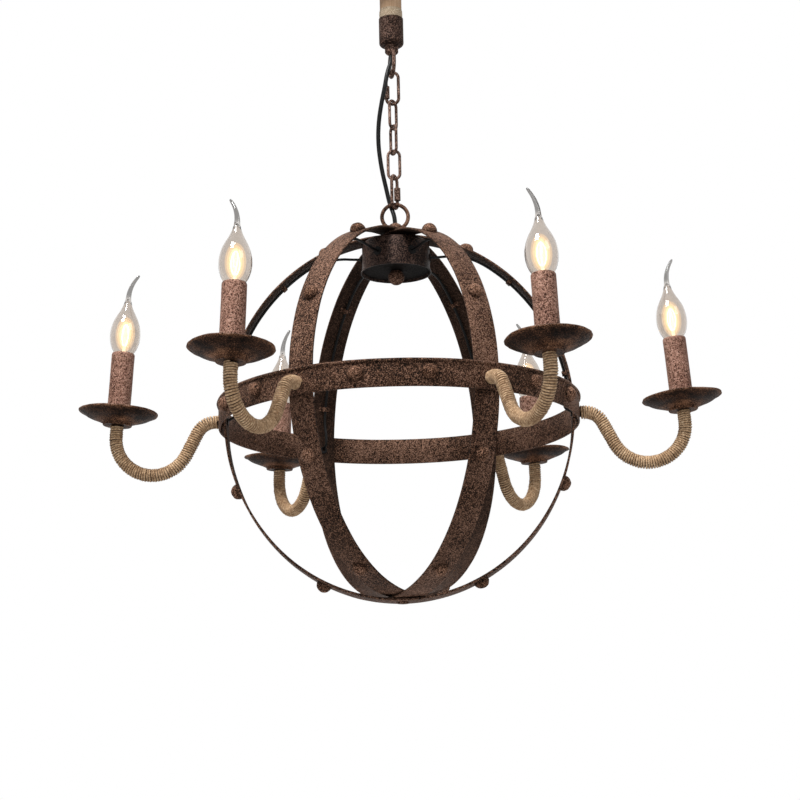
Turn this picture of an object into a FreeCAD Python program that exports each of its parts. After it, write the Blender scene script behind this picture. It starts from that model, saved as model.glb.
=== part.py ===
import FreeCAD, Part
import math
import os

from FreeCAD import Placement, Rotation, Vector

# Orb chandelier: a cage of three riveted hoops and a belt ring, with six twine-wound arms that
# carry candle lamps, on a short chain under a hemp-covered stem and a ceiling canopy.
# Millimetres. The origin is the middle of the ceiling bracket's top face, +Z is up, and -Y is
# the front. Arms and ribs stand at multiples of 60 degrees, counted from +X.

# ---- driving sizes: ceiling end ----
bracket_length = 104.0
bracket_width = 20.0
bracket_thick = 2.5
ceiling_screw_spacing = 60.0
ceiling_screw_hole = 4.6
canopy_radius = 60.0
canopy_depth = 28.0
canopy_wall = 1.2
canopy_corner = 14.0
canopy_screw_spacing = 82.0
canopy_screw_dia = 4.0
canopy_head_dia = 9.0
terminal_length = 18.0
terminal_width = 12.0
terminal_height = 12.0
terminal_offset = 18.5

stem_tube_dia = 12.0
stem_bore = 8.0
stem_nut_flats = 18.0
stem_nut_height = 5.0
stem_engage = 5.0
sheath_dia = 24.0
sheath_length = 40.0
binding_dia = 25.6
binding_length = 10.0
ferrule_dia = 27.0
ferrule_length = 32.0
ferrule_wall = 1.3
ferrule_round = 4.0

# ---- driving sizes: loops, chain and cable ----
loop_wire = 4.2
loop_mid_radius = 14.2
boss_dia = 14.8
upper_boss_drop = 11.0
upper_loop_sink = 4.6
boss_flange_dia = 20.0
boss_flange_height = 2.5
upper_loop_turn = 102.0
cable_dia = 4.8
wireway_dia = 5.4

link_wire = 3.3
link_length = 35.8
link_width = 16.0
quick_wire = 3.5
quick_length = 40.5
quick_width = 17.0
quick_gate_low = 12.9
quick_gate = 4.8
quick_nut_dia = 6.5
quick_nut_length = 14.0
quick_nut_drops = [4.5, 0.75]
link_play = 0.3
link_turns = [-6.0, 57.0, 120.0, 182.0, 66.0]

# ---- driving sizes: orb cage ----
hoop_width = 28.0
hoop_thick = 2.5
hoop_half_width = 185.6
hoop_half_height = 198.5
hoop_step = 3.1
hoop_rise = 1.45
belt_gap = 3.4
belt_height = 28.4
belt_thick = 2.5
belt_bead_height = 4.0
belt_bead_depth = 1.8
rivet_dia = 16.6
rivet_height = 8.2
rivet_shank = 4.0
hoop_rivet_angles = [24.0, 62.5, 112.7, 153.8]
belt_rivet_angles = [11.0, 47.0, 67.0, 113.0, 133.0, 169.0]
pole_pin_dia = 6.0
pole_head_dia = 12.0
pole_head_height = 1.5

# ---- driving sizes: hub ----
hub_boss_dia = 16.0
hub_boss_height = 10.25
hub_loop_sink = 7.2
nipple_dia = 9.8
nipple_bore = 6.4
nipple_stud_dia = 6.0
hub_nut_flats = 17.0
hub_nut_height = 4.2
hub_nut_play = 0.35
drum_radius = 36.5
drum_height = 33.0
drum_wall = 1.2
drum_lip = 1.8
drum_lip_height = 5.0
drum_hole_drop = 16.5
cover_recess = 2.5
cover_thick = 1.2
finial_dia = 17.5
finial_collar = 11.0
grommet_dia = 9.4
grommet_groove_dia = 7.6
grommet_bore = 2.9
grommet_thick = 3.6
rib_grommet_dia = 8.0
rib_grommet_groove_dia = 5.3
rib_grommet_thick = 4.9

# ---- driving sizes: lamp wires ----
lamp_wire_dia = 2.6
wire_stand_off = 2.35
wire_corner_cut = 0.95
clip_angles = [42.0, 77.5]
clip_width = 5.0
clip_span = 13.0
clip_sheet = 0.6

# ---- driving sizes: arms ----
arm_tube_dia = 10.0
arm_tube_bore = 7.0
twine_dia = 13.2
arm_root_drop = 2.5
arm_root_bend = 20.0
arm_run_in = 5.42
arm_slope = 63.0
arm_bow_depth = 58.5
arm_span = 108.5
arm_lean = 4.5
spacer_dia = 16.0
spacer_bore = 8.6
wire_hole_dia = 5.4

# ---- driving sizes: pans, sleeves, lampholders and bulbs ----
pan_radius = 42.9
pan_depth = 15.0
pan_sheet = 1.3
pan_hub_radius = 15.5
pan_step = 2.5
pan_rim_wire = 2.4
pan_above_centre = 11.3
sleeve_dia = 24.6
sleeve_bore = 22.4
sleeve_length = 78.2
sleeve_round = 1.5
holder_dia = 20.4
holder_below_mouth = 11.6
holder_well = 25.4
bulb_cap_dia = 13.8
bulb_cap_length = 21.0
bulb_cap_drop = 12.0
bulb_contact = 2.6
bulb_glass = 0.8
bulb_radius = 16.4
bulb_height = 84.5
bulb_tip_bends = [20.0, 200.0, 330.0, 0.0, 150.0, 200.0]

# ---- clearances ----
fit = 0.05
run = 0.15
gap = 0.1

arm_angles = [60.0 * i for i in range(6)]
Z_AXIS = Vector(0, 0, 1)


def save(name, *solids):
    """Writes one piece, or one group of like pieces, as parts/NAME.step."""
    shape = solids[0] if len(solids) == 1 else Part.makeCompound(list(solids))
    shape.exportStep("parts/" + name + ".step")


def turned(shape, angle):
    """A copy turned about the vertical axis through the origin."""
    copy = shape.copy()
    copy.rotate(Vector(0, 0, 0), Z_AXIS, angle)
    return copy


def raised(shape, height):
    """A copy moved straight up."""
    copy = shape.copy()
    copy.translate(Vector(0, 0, height))
    return copy


def rod(radius, low, high, x=0.0, y=0.0):
    """A vertical round bar between two heights."""
    return Part.makeCylinder(radius, high - low, Vector(x, y, low))


def pipe(outer, inner, low, high):
    """A vertical tube between two heights, from its two radii."""
    return rod(outer, low, high).cut(rod(inner, low - 1, high + 1))


def hex_bar(flats, low, high):
    """A vertical hexagonal bar, from its width across flats."""
    corner = flats / 2 / math.cos(math.radians(30))
    points = []
    for i in range(7):
        turn = math.radians(60 * i)
        points.append(Vector(corner * math.cos(turn), corner * math.sin(turn), low))
    return Part.Face(Part.makePolygon(points)).extrude(Vector(0, 0, high - low))


def spun(edges):
    """A solid of revolution about the vertical axis, from edges in the XZ plane."""
    return Part.Face(Part.Wire(edges)).revolve(Vector(0, 0, 0), Z_AXIS, 360)


def spun_outline(points):
    """A solid of revolution from a closed outline of (radius, height) corners."""
    corners = [Vector(r, 0, z) for r, z in points]
    return Part.Face(Part.makePolygon(corners + corners[:1])).revolve(Vector(0, 0, 0), Z_AXIS, 360)


def smooth(points):
    """One smooth edge through (radius, height) points."""
    curve = Part.BSplineCurve()
    curve.interpolate([Vector(r, 0, z) for r, z in points])
    return curve.toShape()


def line(a, b):
    """A straight edge between two (radius, height) points."""
    return Part.makeLine(Vector(a[0], 0, a[1]), Vector(b[0], 0, b[1]))


def bent_path(points, radii=None):
    """A wire of straight runs joined by tangent arcs.

    Without given radii, each arc is as large as its two runs allow: 0.45 of the shorter run,
    divided by the tangent of half the turn. Returns the wire and the radii."""
    edges = []
    used = []
    start = points[0]
    for i in range(1, len(points) - 1):
        before = points[i] - points[i - 1]
        after = points[i + 1] - points[i]
        half = before.getAngle(after) / 2
        radius = radii[i - 1] if radii else 0.45 * min(before.Length, after.Length) / math.tan(half)
        used.append(radius)
        cut = radius * math.tan(half)
        inward = Vector(before).normalize()
        outward = Vector(after).normalize()
        first = points[i] - inward * cut
        last = points[i] + outward * cut
        bisector = (outward - inward).normalize()
        middle = points[i] + bisector * (radius / math.cos(half) - radius)
        edges.append(Part.LineSegment(start, first).toShape())
        edges.append(Part.Arc(first, middle, last).toShape())
        start = last
    edges.append(Part.LineSegment(start, points[-1]).toShape())
    return Part.Wire(edges), used


def swept(path, radius):
    """A round bar that follows a wire."""
    edge = path.Edges[0]
    start = edge.valueAt(edge.FirstParameter)
    along = edge.tangentAt(edge.FirstParameter)
    ring = Part.Wire(Part.makeCircle(radius, start, along))
    return path.makePipeShell([ring], True, True)


def ring_in_plane(mid_radius, wire, turn, height):
    """An upright ring whose plane holds the vertical axis, turned about it."""
    ring = Part.makeTorus(mid_radius, wire / 2, Vector(0, 0, 0), Vector(0, 1, 0))
    return raised(turned(ring, turn), height)


# ================= heights, from the ceiling down =================
canopy_floor = -canopy_depth
sheath_foot = canopy_floor - sheath_length
ferrule_top = sheath_foot - binding_length
ferrule_foot = ferrule_top - ferrule_length
upper_boss_foot = ferrule_foot - upper_boss_drop
upper_loop_z = upper_boss_foot + upper_loop_sink - loop_mid_radius

wires = [quick_wire, link_wire, link_wire, link_wire, quick_wire]
lengths = [quick_length, link_length, link_length, link_length, quick_length]
widths = [quick_width, link_width, link_width, link_width, quick_width]
pivots = [upper_loop_z - loop_mid_radius]
link_tops = []
carrier_wire = loop_wire
for wire, length in zip(wires, lengths):
    top = pivots[-1] + carrier_wire / 2 + wire / 2 + link_play
    link_tops.append(top + wire / 2)
    pivots.append(top + wire - length)
    carrier_wire = wire
hub_loop_top = pivots[-1] + carrier_wire / 2 + loop_wire / 2 + link_play
hub_loop_z = hub_loop_top - loop_mid_radius
hub_boss_top = hub_loop_z - loop_mid_radius + hub_loop_sink
hub_boss_foot = hub_boss_top - hub_boss_height
orb_z = hub_boss_foot - gap - hoop_rise - hoop_step - hoop_half_height


# ================= ceiling end: bracket, canopy, stem =================
def ceiling_bracket():
    bar = Part.makeBox(
        bracket_length,
        bracket_width,
        bracket_thick,
        Vector(-bracket_length / 2, -bracket_width / 2, -bracket_thick),
    )
    for side in (-1, 1):
        at_ceiling = side * ceiling_screw_spacing / 2
        at_canopy = side * canopy_screw_spacing / 2
        bar = bar.cut(rod(ceiling_screw_hole / 2, -2 * bracket_thick, 1, at_ceiling))
        bar = bar.cut(rod(canopy_screw_dia / 2 + fit, -2 * bracket_thick, 1, at_canopy))
    return bar.cut(rod(stem_tube_dia / 2 + fit, -2 * bracket_thick, 1))


def canopy():
    wall = canopy_wall
    depth = canopy_depth
    radius = canopy_radius
    corner = canopy_corner

    def bowl(out, low, round_radius, top):
        middle = round_radius * (1 - math.sqrt(0.5))
        return spun(
            [
                line((0, top), (out, top)),
                line((out, top), (out, low + round_radius)),
                Part.Arc(
                    Vector(out, 0, low + round_radius),
                    Vector(out - middle, 0, low + middle),
                    Vector(out - round_radius, 0, low),
                ).toShape(),
                line((out - round_radius, low), (0, low)),
                line((0, low), (0, top)),
            ]
        )

    shell = bowl(radius, -depth, corner, 0).cut(bowl(radius - wall, -depth + wall, corner - wall, 1))
    shell = shell.cut(rod(stem_tube_dia / 2 + run, -depth - 1, -depth + wall + 1))
    for side in (-1, 1):
        hole = canopy_screw_dia / 2 + run
        shell = shell.cut(
            rod(hole, -depth - 1, -depth + wall + 1, side * canopy_screw_spacing / 2)
        )
    return shell


def canopy_screw(side):
    head_radius = canopy_head_dia / 2
    head_height = 0.6 * head_radius
    ball = (head_radius**2 + head_height**2) / (2 * head_height)
    dome = Part.makeSphere(ball, Vector(0, 0, canopy_floor - head_height + ball))
    head = dome.common(rod(head_radius, canopy_floor - head_height, canopy_floor))
    screw = head.fuse(rod(canopy_screw_dia / 2, canopy_floor, -0.5)).removeSplitter()
    screw.translate(Vector(side * canopy_screw_spacing / 2, 0, 0))
    return screw


def terminal_block():
    foot = -bracket_thick - terminal_height
    block = Part.makeBox(
        terminal_width,
        terminal_length,
        terminal_height,
        Vector(-terminal_offset - terminal_width / 2, -terminal_length / 2, foot),
    )
    for i in (-1, 0, 1):
        y = i * terminal_length / 3
        way = Part.makeCylinder(
            terminal_length / 9,
            terminal_width + 2,
            Vector(-terminal_offset - terminal_width / 2 - 1, y, foot + terminal_height / 2),
            Vector(1, 0, 0),
        )
        block = block.cut(way)
    return block


def stem_nut(low):
    nut = hex_bar(stem_nut_flats, low, low + stem_nut_height)
    return nut.cut(rod(stem_tube_dia / 2 + fit, low - 1, low + stem_nut_height + 1))


def stem_tube():
    foot = ferrule_foot + ferrule_wall + boss_flange_height - stem_engage + gap
    return pipe(stem_tube_dia / 2, stem_bore / 2, foot, -0.5)


def stem_sheath():
    """The woven hemp cover, with its wider bound end just above the ferrule."""
    inner = stem_tube_dia / 2 + fit
    low = ferrule_foot + ferrule_wall + boss_flange_height + gap
    return spun_outline(
        [
            (inner, low),
            (ferrule_dia / 2 - ferrule_wall - gap, low),
            (ferrule_dia / 2 - ferrule_wall - gap, ferrule_top),
            (binding_dia / 2, ferrule_top),
            (binding_dia / 2, sheath_foot),
            (sheath_dia / 2, sheath_foot + 0.6),
            (sheath_dia / 2, canopy_floor - gap),
            (inner, canopy_floor - gap),
        ]
    )


def ferrule():
    out = ferrule_dia / 2
    low = ferrule_foot
    middle = ferrule_round * (1 - math.sqrt(0.5))
    cup = spun(
        [
            line((0, ferrule_top), (out, ferrule_top)),
            line((out, ferrule_top), (out, low + ferrule_round)),
            Part.Arc(
                Vector(out, 0, low + ferrule_round),
                Vector(out - middle, 0, low + middle),
                Vector(out - ferrule_round, 0, low),
            ).toShape(),
            line((out - ferrule_round, low), (0, low)),
            line((0, low), (0, ferrule_top)),
        ]
    )
    cup = cup.cut(rod(out - ferrule_wall, low + ferrule_wall, ferrule_top + 1))
    return cup.cut(rod(boss_dia / 2 + fit, low - 1, low + ferrule_wall + 1))


def loop_boss(radius, foot, height):
    """A round boss with a domed foot, which is drawn pointing down."""
    dome = 0.55 * radius
    ball = (radius**2 + dome**2) / (2 * dome)
    body = rod(radius, foot + dome, foot + height)
    cap = Part.makeSphere(ball, Vector(0, 0, foot + ball)).common(rod(radius, foot, foot + dome))
    return body.fuse(cap)


def upper_loop():
    top = ferrule_foot + ferrule_wall
    boss = loop_boss(boss_dia / 2, upper_boss_foot, top - upper_boss_foot)
    flange = rod(boss_flange_dia / 2, top, top + boss_flange_height)
    ring = ring_in_plane(loop_mid_radius, loop_wire, upper_loop_turn, upper_loop_z)
    loop = boss.fuse(flange).fuse(ring)
    socket_foot = top + boss_flange_height - stem_engage
    socket = rod(stem_tube_dia / 2 + fit, socket_foot, top + 20)
    return loop.cut(socket).cut(rod(wireway_dia / 2, upper_boss_foot - 6, top + 20)).removeSplitter()


# ================= chain =================
def link_body(wire, length, width):
    """A closed link in the XZ plane, its lowest point at height 0."""
    bow = (width - wire) / 2
    low = width / 2
    high = length - width / 2
    ring = Part.makeTorus(bow, wire / 2, Vector(0, 0, 0), Vector(0, 1, 0))
    half = Part.makeBox(2 * width, 2 * width, 2 * width, Vector(-width, -width, 0))
    link = raised(ring.common(half), high).fuse(raised(ring.cut(half), low))
    for side in (-1, 1):
        link = link.fuse(rod(wire / 2, low, high, side * bow))
    return link.removeSplitter()


def chain_link(index):
    link = link_body(wires[index], lengths[index], widths[index])
    return raised(turned(link, link_turns[index]), link_tops[index] - lengths[index])


quick_bow = (quick_width - quick_wire) / 2

def quick_link(index, side):
    """A link whose one leg has a gate: a gap in the wire, which a sleeve nut closes."""
    gate = Part.makeBox(
        quick_wire + 1,
        quick_wire + 1,
        quick_gate,
        Vector(side * quick_bow - (quick_wire + 1) / 2, -(quick_wire + 1) / 2, quick_gate_low),
    )
    link = link_body(quick_wire, quick_length, quick_width).cut(gate)
    return raised(turned(link, link_turns[index]), link_tops[index] - quick_length)


def quick_link_nut(index, side, drop):
    low = (quick_length - quick_nut_length) / 2 - drop
    high = low + quick_nut_length
    nut = hex_bar(quick_nut_dia, low, high).common(rod(0.54 * quick_nut_dia, low, high))
    nut = nut.cut(rod(quick_wire / 2 + fit, low - 1, high + 1))
    nut.translate(Vector(side * quick_bow, 0, 0))
    return raised(turned(nut, link_turns[index]), link_tops[index] - quick_length)


# ================= supply cable, from the upper loop to the hub =================
# Points are (x, y, height above the orb's centre), from top to bottom.
cable_route = [
    (0.0, 0.0, 422.0),
    (0.0, 0.0, 402.0),
    (-5.0, -6.0, 386.0),
    (-8.0, -7.8, 368.0),
    (-12.2, -7.2, 349.0),
    (-16.0, -4.0, 327.0),
    (-16.8, -0.5, 303.0),
    (-13.8, 3.0, 277.0),
    (-8.8, 5.8, 253.0),
    (-5.6, 6.2, 237.0),
    (-1.7, 2.1, 225.5),
    (0.0, 0.0, 216.0),
    (0.0, 0.0, 204.0),
]


def supply_cable():
    points = [Vector(x, y, z + orb_z) for x, y, z in cable_route]
    path, radii = bent_path(points)
    cable = swept(path, cable_dia / 2)
    expected = math.pi * (cable_dia / 2) ** 2 * path.Length
    print("supply cable: length %.1f mm, volume ratio %.4f" % (path.Length, cable.Volume / expected))
    print("supply cable radii:", " ".join("%.1f" % r for r in radii))
    return cable


# ================= orb cage =================
# The hoops cross at both poles. Each is a little lower than the one before, so that they stack
# one inside the other: the first is outermost at the top, the last at the bottom.
hoop_turns = [60.0, 120.0, 0.0]
hoop_shifts = [hoop_rise + hoop_step, hoop_rise, hoop_rise - hoop_step]
hoop_names = ["hoop_front_left", "hoop_front_right", "hoop_side"]
belt_radius = hoop_half_width + belt_gap + belt_thick
root_z = orb_z - arm_root_drop


def hoop_of_rib(angle):
    """The index of the hoop that a rib at this angle is half of."""
    return [turn % 180 for turn in hoop_turns].index(angle % 180)


def rib_point(angle, inset):
    """(radius, height over the hoop's centre) on a hoop: 0 is its top pole, 90 its side."""
    t = math.radians(angle)
    return (hoop_half_width - inset) * math.sin(t), (hoop_half_height - inset) * math.cos(t)


def rib_normal(radius, height):
    """Degrees between the vertical and the hoop's outward normal at a point."""
    slope = (radius / hoop_half_width**2) / (height / hoop_half_height**2 + 1e-9)
    angle = math.degrees(math.atan(slope))
    return angle if angle >= 0 else angle + 180


def elliptic_disc(half_width, half_height, width):
    """An upright elliptic disc about the origin, its axis along Y."""
    long_axis, short_axis = Vector(0, 0, half_height), Vector(half_width, 0, 0)
    if half_width > half_height:
        long_axis, short_axis = short_axis, long_axis
    ellipse = Part.Ellipse(long_axis, short_axis, Vector(0, 0, 0))
    face = Part.Face(Part.Wire(ellipse.toShape()))
    disc = face.extrude(face.normalAt(0, 0) * width)
    disc.translate(Vector(0, -disc.BoundBox.Center.y, 0))
    return disc


def on_rib(shape, angle, inset, shift):
    """Moves a shape drawn on the origin, +Z outwards, onto a hoop in the XZ plane."""
    radius, height = rib_point(angle, inset)
    tilt = rib_normal(radius, height)
    copy = shape.copy()
    copy.Placement = Placement(
        Vector(radius, 0, height + shift + orb_z), Rotation(Vector(0, 1, 0), tilt)
    )
    return copy


def hoop(index):
    shift = hoop_shifts[index]
    band = elliptic_disc(hoop_half_width, hoop_half_height, hoop_width)
    inner = elliptic_disc(hoop_half_width - hoop_thick, hoop_half_height - hoop_thick, 2 * hoop_width)
    band = raised(band.cut(inner), orb_z + shift)
    hole = rod(rivet_shank / 2 + fit, -2 * hoop_thick, hoop_thick)
    for side in (0, 180):
        for angle in hoop_rivet_angles:
            band = band.cut(turned(on_rib(hole, angle, 0, shift), side))
    wire_way = Part.makeCylinder(
        wire_hole_dia / 2, 2 * belt_radius, Vector(-belt_radius, 0, root_z), Vector(1, 0, 0)
    )
    poles = rod(nipple_dia / 2 + fit, orb_z, orb_z + 2 * hoop_half_height)
    poles = poles.fuse(rod(pole_pin_dia / 2 + fit, orb_z - 2 * hoop_half_height, orb_z))
    return turned(band.cut(wire_way).cut(poles), hoop_turns[index])


def rivet():
    """A domed rivet on the origin: its head over the XY plane, its shank below."""
    radius = rivet_dia / 2
    ball = (radius**2 + rivet_height**2) / (2 * rivet_height)
    dome = Part.makeSphere(ball, Vector(0, 0, rivet_height - ball))
    head = dome.common(rod(ball + 1, 0, rivet_height + 1))
    return head


def hoop_rivets():
    pin = rivet().fuse(rod(rivet_shank / 2, -hoop_thick, 0)).removeSplitter()
    rivets = []
    for angle in arm_angles:
        shift = hoop_shifts[hoop_of_rib(angle)]
        for down in hoop_rivet_angles:
            rivets.append(turned(on_rib(pin, down, 0, shift), angle))
    return rivets


def belt():
    """The belt ring, with the half-round bead along its top edge."""
    half = belt_height / 2
    bead_low = half - belt_bead_height
    bead = Part.Arc(
        Vector(belt_radius, 0, bead_low),
        Vector(belt_radius + belt_bead_depth, 0, half - belt_bead_height / 2),
        Vector(belt_radius, 0, half),
    ).toShape()
    inner = belt_radius - belt_thick
    ring = spun(
        [
            line((inner, -half), (belt_radius, -half)),
            line((belt_radius, -half), (belt_radius, bead_low)),
            bead,
            line((belt_radius, half), (inner, half)),
            line((inner, half), (inner, -half)),
        ]
    )
    ring = raised(ring, orb_z)
    hole = arm_tube_dia / 2 + fit
    for angle in arm_angles:
        way = Part.makeCylinder(
            hole, belt_radius, Vector(belt_radius / 2, 0, root_z), Vector(1, 0, 0)
        )
        ring = ring.cut(turned(way, angle))
    for angle in belt_rivet_places():
        way = Part.makeCylinder(
            rivet_shank / 2 + fit, belt_radius, Vector(belt_radius / 2, 0, orb_z), Vector(1, 0, 0)
        )
        ring = ring.cut(turned(way, angle))
    return ring


def belt_rivet_places():
    """Angles from +X: the same places to the left and right of the front."""
    places = []
    for from_front in belt_rivet_angles:
        places.append(-90 + from_front)
        places.append(-90 - from_front)
    return places


def belt_rivets():
    pin = rivet().fuse(rod(rivet_shank / 2, -belt_thick, 0)).removeSplitter()
    pin.Placement = Placement(Vector(belt_radius, 0, orb_z), Rotation(Vector(0, 1, 0), 90))
    return [turned(pin, angle) for angle in belt_rivet_places()]


def pole_rivet():
    """The rivet through the three hoops where they cross at the bottom."""
    low = orb_z - hoop_half_height + hoop_rise - hoop_step
    high = low + 2 * hoop_step + hoop_thick
    shank = rod(pole_pin_dia / 2, low - pole_head_height, high + pole_head_height)
    foot = rod(pole_head_dia / 2, low - pole_head_height, low)
    head = rod(pole_head_dia / 2, high + 2 * gap, high + pole_head_height)
    return shank.fuse(foot).fuse(head).removeSplitter()


def belt_spacer(angle):
    """The welded ring between a rib and the belt, which the lamp wire goes through."""
    outside = hoop_half_width + gap
    inside = belt_radius - belt_thick - gap
    block = Part.makeCylinder(
        spacer_dia / 2, inside - outside + 1.2, Vector(outside, 0, root_z), Vector(1, 0, 0)
    )
    bore = Part.makeCylinder(
        spacer_bore / 2, inside, Vector(outside - 1, 0, root_z), Vector(1, 0, 0)
    )
    block = block.common(rod(inside, root_z - spacer_dia, root_z + spacer_dia)).cut(bore)
    return turned(block, angle)


# ================= hub =================
stack_foot = orb_z + hoop_half_height + hoop_rise - hoop_step - hoop_thick
drum_top = stack_foot - hub_nut_play - hub_nut_height - gap
drum_foot = drum_top - drum_height
drum_hole_z = drum_top - drum_hole_drop
cover_z = drum_foot + cover_recess
finial_z = cover_z - math.sqrt((finial_dia / 2) ** 2 - (finial_collar / 2) ** 2)


def hub_loop():
    boss = loop_boss(hub_boss_dia / 2, 0, hub_boss_height)
    boss.rotate(Vector(0, 0, 0), Vector(1, 0, 0), 180)
    boss = raised(boss, hub_boss_top)
    ring = ring_in_plane(loop_mid_radius, loop_wire, 0, hub_loop_z)
    loop = boss.fuse(ring)
    loop = loop.cut(rod(wireway_dia / 2, hub_boss_foot - 1, hub_boss_top + 6))
    socket = rod(nipple_dia / 2 + fit, hub_boss_foot - 1, hub_boss_foot + hub_boss_height / 2)
    return loop.cut(socket).removeSplitter()


def hub_nipple():
    """The hollow threaded tube that clamps the hub, with a stud for the finial at its foot."""
    top = hub_boss_foot + hub_boss_height / 2 - gap
    shoulder = cover_z + cover_thick + gap
    tube = rod(nipple_dia / 2, shoulder, top)
    tube = tube.cut(rod(nipple_bore / 2, drum_hole_z, top + 1))
    slot = Part.makeBox(nipple_dia, nipple_bore, nipple_bore, Vector(0, -nipple_bore / 2, drum_hole_z))
    return tube.cut(slot).fuse(rod(nipple_stud_dia / 2, finial_z, shoulder)).removeSplitter()


def hub_nut(low):
    nut = hex_bar(hub_nut_flats, low, low + hub_nut_height)
    return nut.cut(rod(nipple_dia / 2 + fit, low - 1, low + hub_nut_height + 1))


def hub_drum():
    out = drum_radius
    wall = drum_wall
    lip = drum_lip
    drum = spun_outline(
        [
            (nipple_dia / 2 + run, drum_top),
            (out - 1.5, drum_top),
            (out, drum_top - 1.5),
            (out, drum_foot + drum_lip_height),
            (out + lip, drum_foot),
            (out + lip - wall, drum_foot),
            (out - wall, drum_foot + drum_lip_height),
            (out - wall, drum_top - wall),
            (nipple_dia / 2 + run, drum_top - wall),
        ]
    )
    for angle in arm_angles:
        way = Part.makeCylinder(
            grommet_groove_dia / 2 + fit, out, Vector(out / 2, 0, drum_hole_z), Vector(1, 0, 0)
        )
        drum = drum.cut(turned(way, angle))
    return drum


def hub_cover():
    radius = drum_radius - drum_wall - run
    disc = rod(radius, cover_z, cover_z + cover_thick)
    return disc.cut(rod(nipple_stud_dia / 2 + run, cover_z - 1, cover_z + cover_thick + 1))


def hub_finial():
    ball = Part.makeSphere(finial_dia / 2, Vector(0, 0, finial_z))
    ball = ball.common(rod(finial_dia, finial_z - finial_dia, cover_z - gap))
    return ball.cut(rod(nipple_stud_dia / 2 + fit, finial_z - 0.5, cover_z + 1))


def grommet(flange, groove, bore, thick, wall):
    """A rubber ring about the X axis, grooved for a wall whose outer face is at x = 0."""
    lip = (thick - wall) / 2
    waist = Part.makeCylinder(groove / 2, thick, Vector(-wall - lip, 0, 0), Vector(1, 0, 0))
    outer = Part.makeCylinder(flange / 2, lip, Vector(0, 0, 0), Vector(1, 0, 0))
    inner = Part.makeCylinder(flange / 2, lip, Vector(-wall - lip, 0, 0), Vector(1, 0, 0))
    hole = Part.makeCylinder(bore / 2, 3 * thick, Vector(-wall - thick, 0, 0), Vector(1, 0, 0))
    return waist.fuse(outer).fuse(inner).cut(hole).removeSplitter()


def wire_grommets():
    ring = grommet(grommet_dia, grommet_groove_dia, grommet_bore, grommet_thick, drum_wall + 5 * gap)
    ring.translate(Vector(drum_radius + 0.1, 0, drum_hole_z))
    rib_ring = grommet(
        rib_grommet_dia,
        rib_grommet_groove_dia,
        grommet_bore,
        rib_grommet_thick,
        hoop_thick + 6 * gap,
    )
    rings = []
    for angle in arm_angles:
        rings.append(turned(ring, angle))
        rise = (root_z - orb_z - hoop_shifts[hoop_of_rib(angle)]) / hoop_half_height
        face = hoop_half_width * math.sqrt(1 - rise**2)
        placed = rib_ring.copy()
        placed.translate(Vector(face + 3 * gap, 0, root_z))
        rings.append(turned(placed, angle))
    return rings


# ================= lamp wires =================
def wire_points(shift):
    """The route of one lamp wire in the XZ plane, from inside the drum to inside its arm."""
    inset = hoop_thick + wire_stand_off - wire_corner_cut
    points = [
        (drum_radius - 8, drum_hole_z),
        (drum_radius + 8, drum_hole_z),
        (drum_radius + 24, drum_hole_z + 5.5),
    ]
    for angle in (28, 40, 52, 63, 73, 82):
        radius, height = rib_point(angle, inset)
        points.append((radius, height + shift + orb_z))
    corner = hoop_half_width - hoop_thick - 7.4
    points.append((corner, root_z + 15))
    points.append((corner, root_z))
    points.append((belt_radius + 10, root_z))
    return [Vector(x, 0, z) for x, z in points]


def lamp_wires():
    wires_made = []
    for angle in arm_angles:
        path, radii = bent_path(wire_points(hoop_shifts[hoop_of_rib(angle)]))
        wires_made.append(turned(swept(path, lamp_wire_dia / 2), angle))
        print("lamp wire at %3.0f: length %.1f mm" % (angle, path.Length))
        print("  radii:", " ".join("%.1f" % r for r in radii))
    return wires_made


def wire_clip():
    """A bent strip over a wire: feet on the origin's plane, the arch towards -Z."""
    half = clip_span / 2
    arch = lamp_wire_dia / 2 + 0.5
    rise = wire_stand_off + lamp_wire_dia / 2 + 0.2
    outline = [
        (-half, 0),
        (-half, -clip_sheet),
        (-arch - clip_sheet, -clip_sheet),
        (-arch - clip_sheet, -rise - clip_sheet),
        (arch + clip_sheet, -rise - clip_sheet),
        (arch + clip_sheet, -clip_sheet),
        (half, -clip_sheet),
        (half, 0),
        (arch, 0),
        (arch, -rise),
        (-arch, -rise),
        (-arch, 0),
    ]
    corners = [Vector(-clip_width / 2, y, z) for y, z in outline]
    face = Part.Face(Part.makePolygon(corners + corners[:1]))
    return face.extrude(Vector(clip_width, 0, 0))


def wire_clips():
    clips = []
    for angle in arm_angles:
        shift = hoop_shifts[hoop_of_rib(angle)]
        for down in clip_angles:
            clips.append(turned(on_rib(wire_clip(), down, hoop_thick + gap, shift), angle))
    return clips


# ================= arms =================
lean = math.radians(arm_lean)
slope = math.radians(arm_slope)
pan_foot_z = orb_z + pan_above_centre - pan_depth * math.cos(lean)
pan_foot_r = belt_radius + arm_span + pan_depth * math.sin(lean)

# The bow touches three lines: the sloping run, the riser under the pan, and its lowest level.
bow_foot_z = orb_z - arm_bow_depth
root_cut = arm_root_bend * math.tan(slope / 2)
root_corner_r = belt_radius + arm_run_in + root_cut
room_across = pan_foot_r + (pan_foot_z - bow_foot_z) * math.tan(lean) - root_corner_r
room = room_across * math.sin(slope) + (bow_foot_z - root_z) * math.cos(slope)
riser_share = (1 + math.sin(lean)) * math.tan(lean) + math.cos(lean)
arm_bow_radius = room / (1 + riser_share * math.sin(slope) - math.cos(slope))
bow_z = bow_foot_z + arm_bow_radius
riser = (pan_foot_z - bow_z - arm_bow_radius * math.sin(lean)) / math.cos(lean)
bow_r = pan_foot_r + riser * math.sin(lean) - arm_bow_radius * math.cos(lean)


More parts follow.
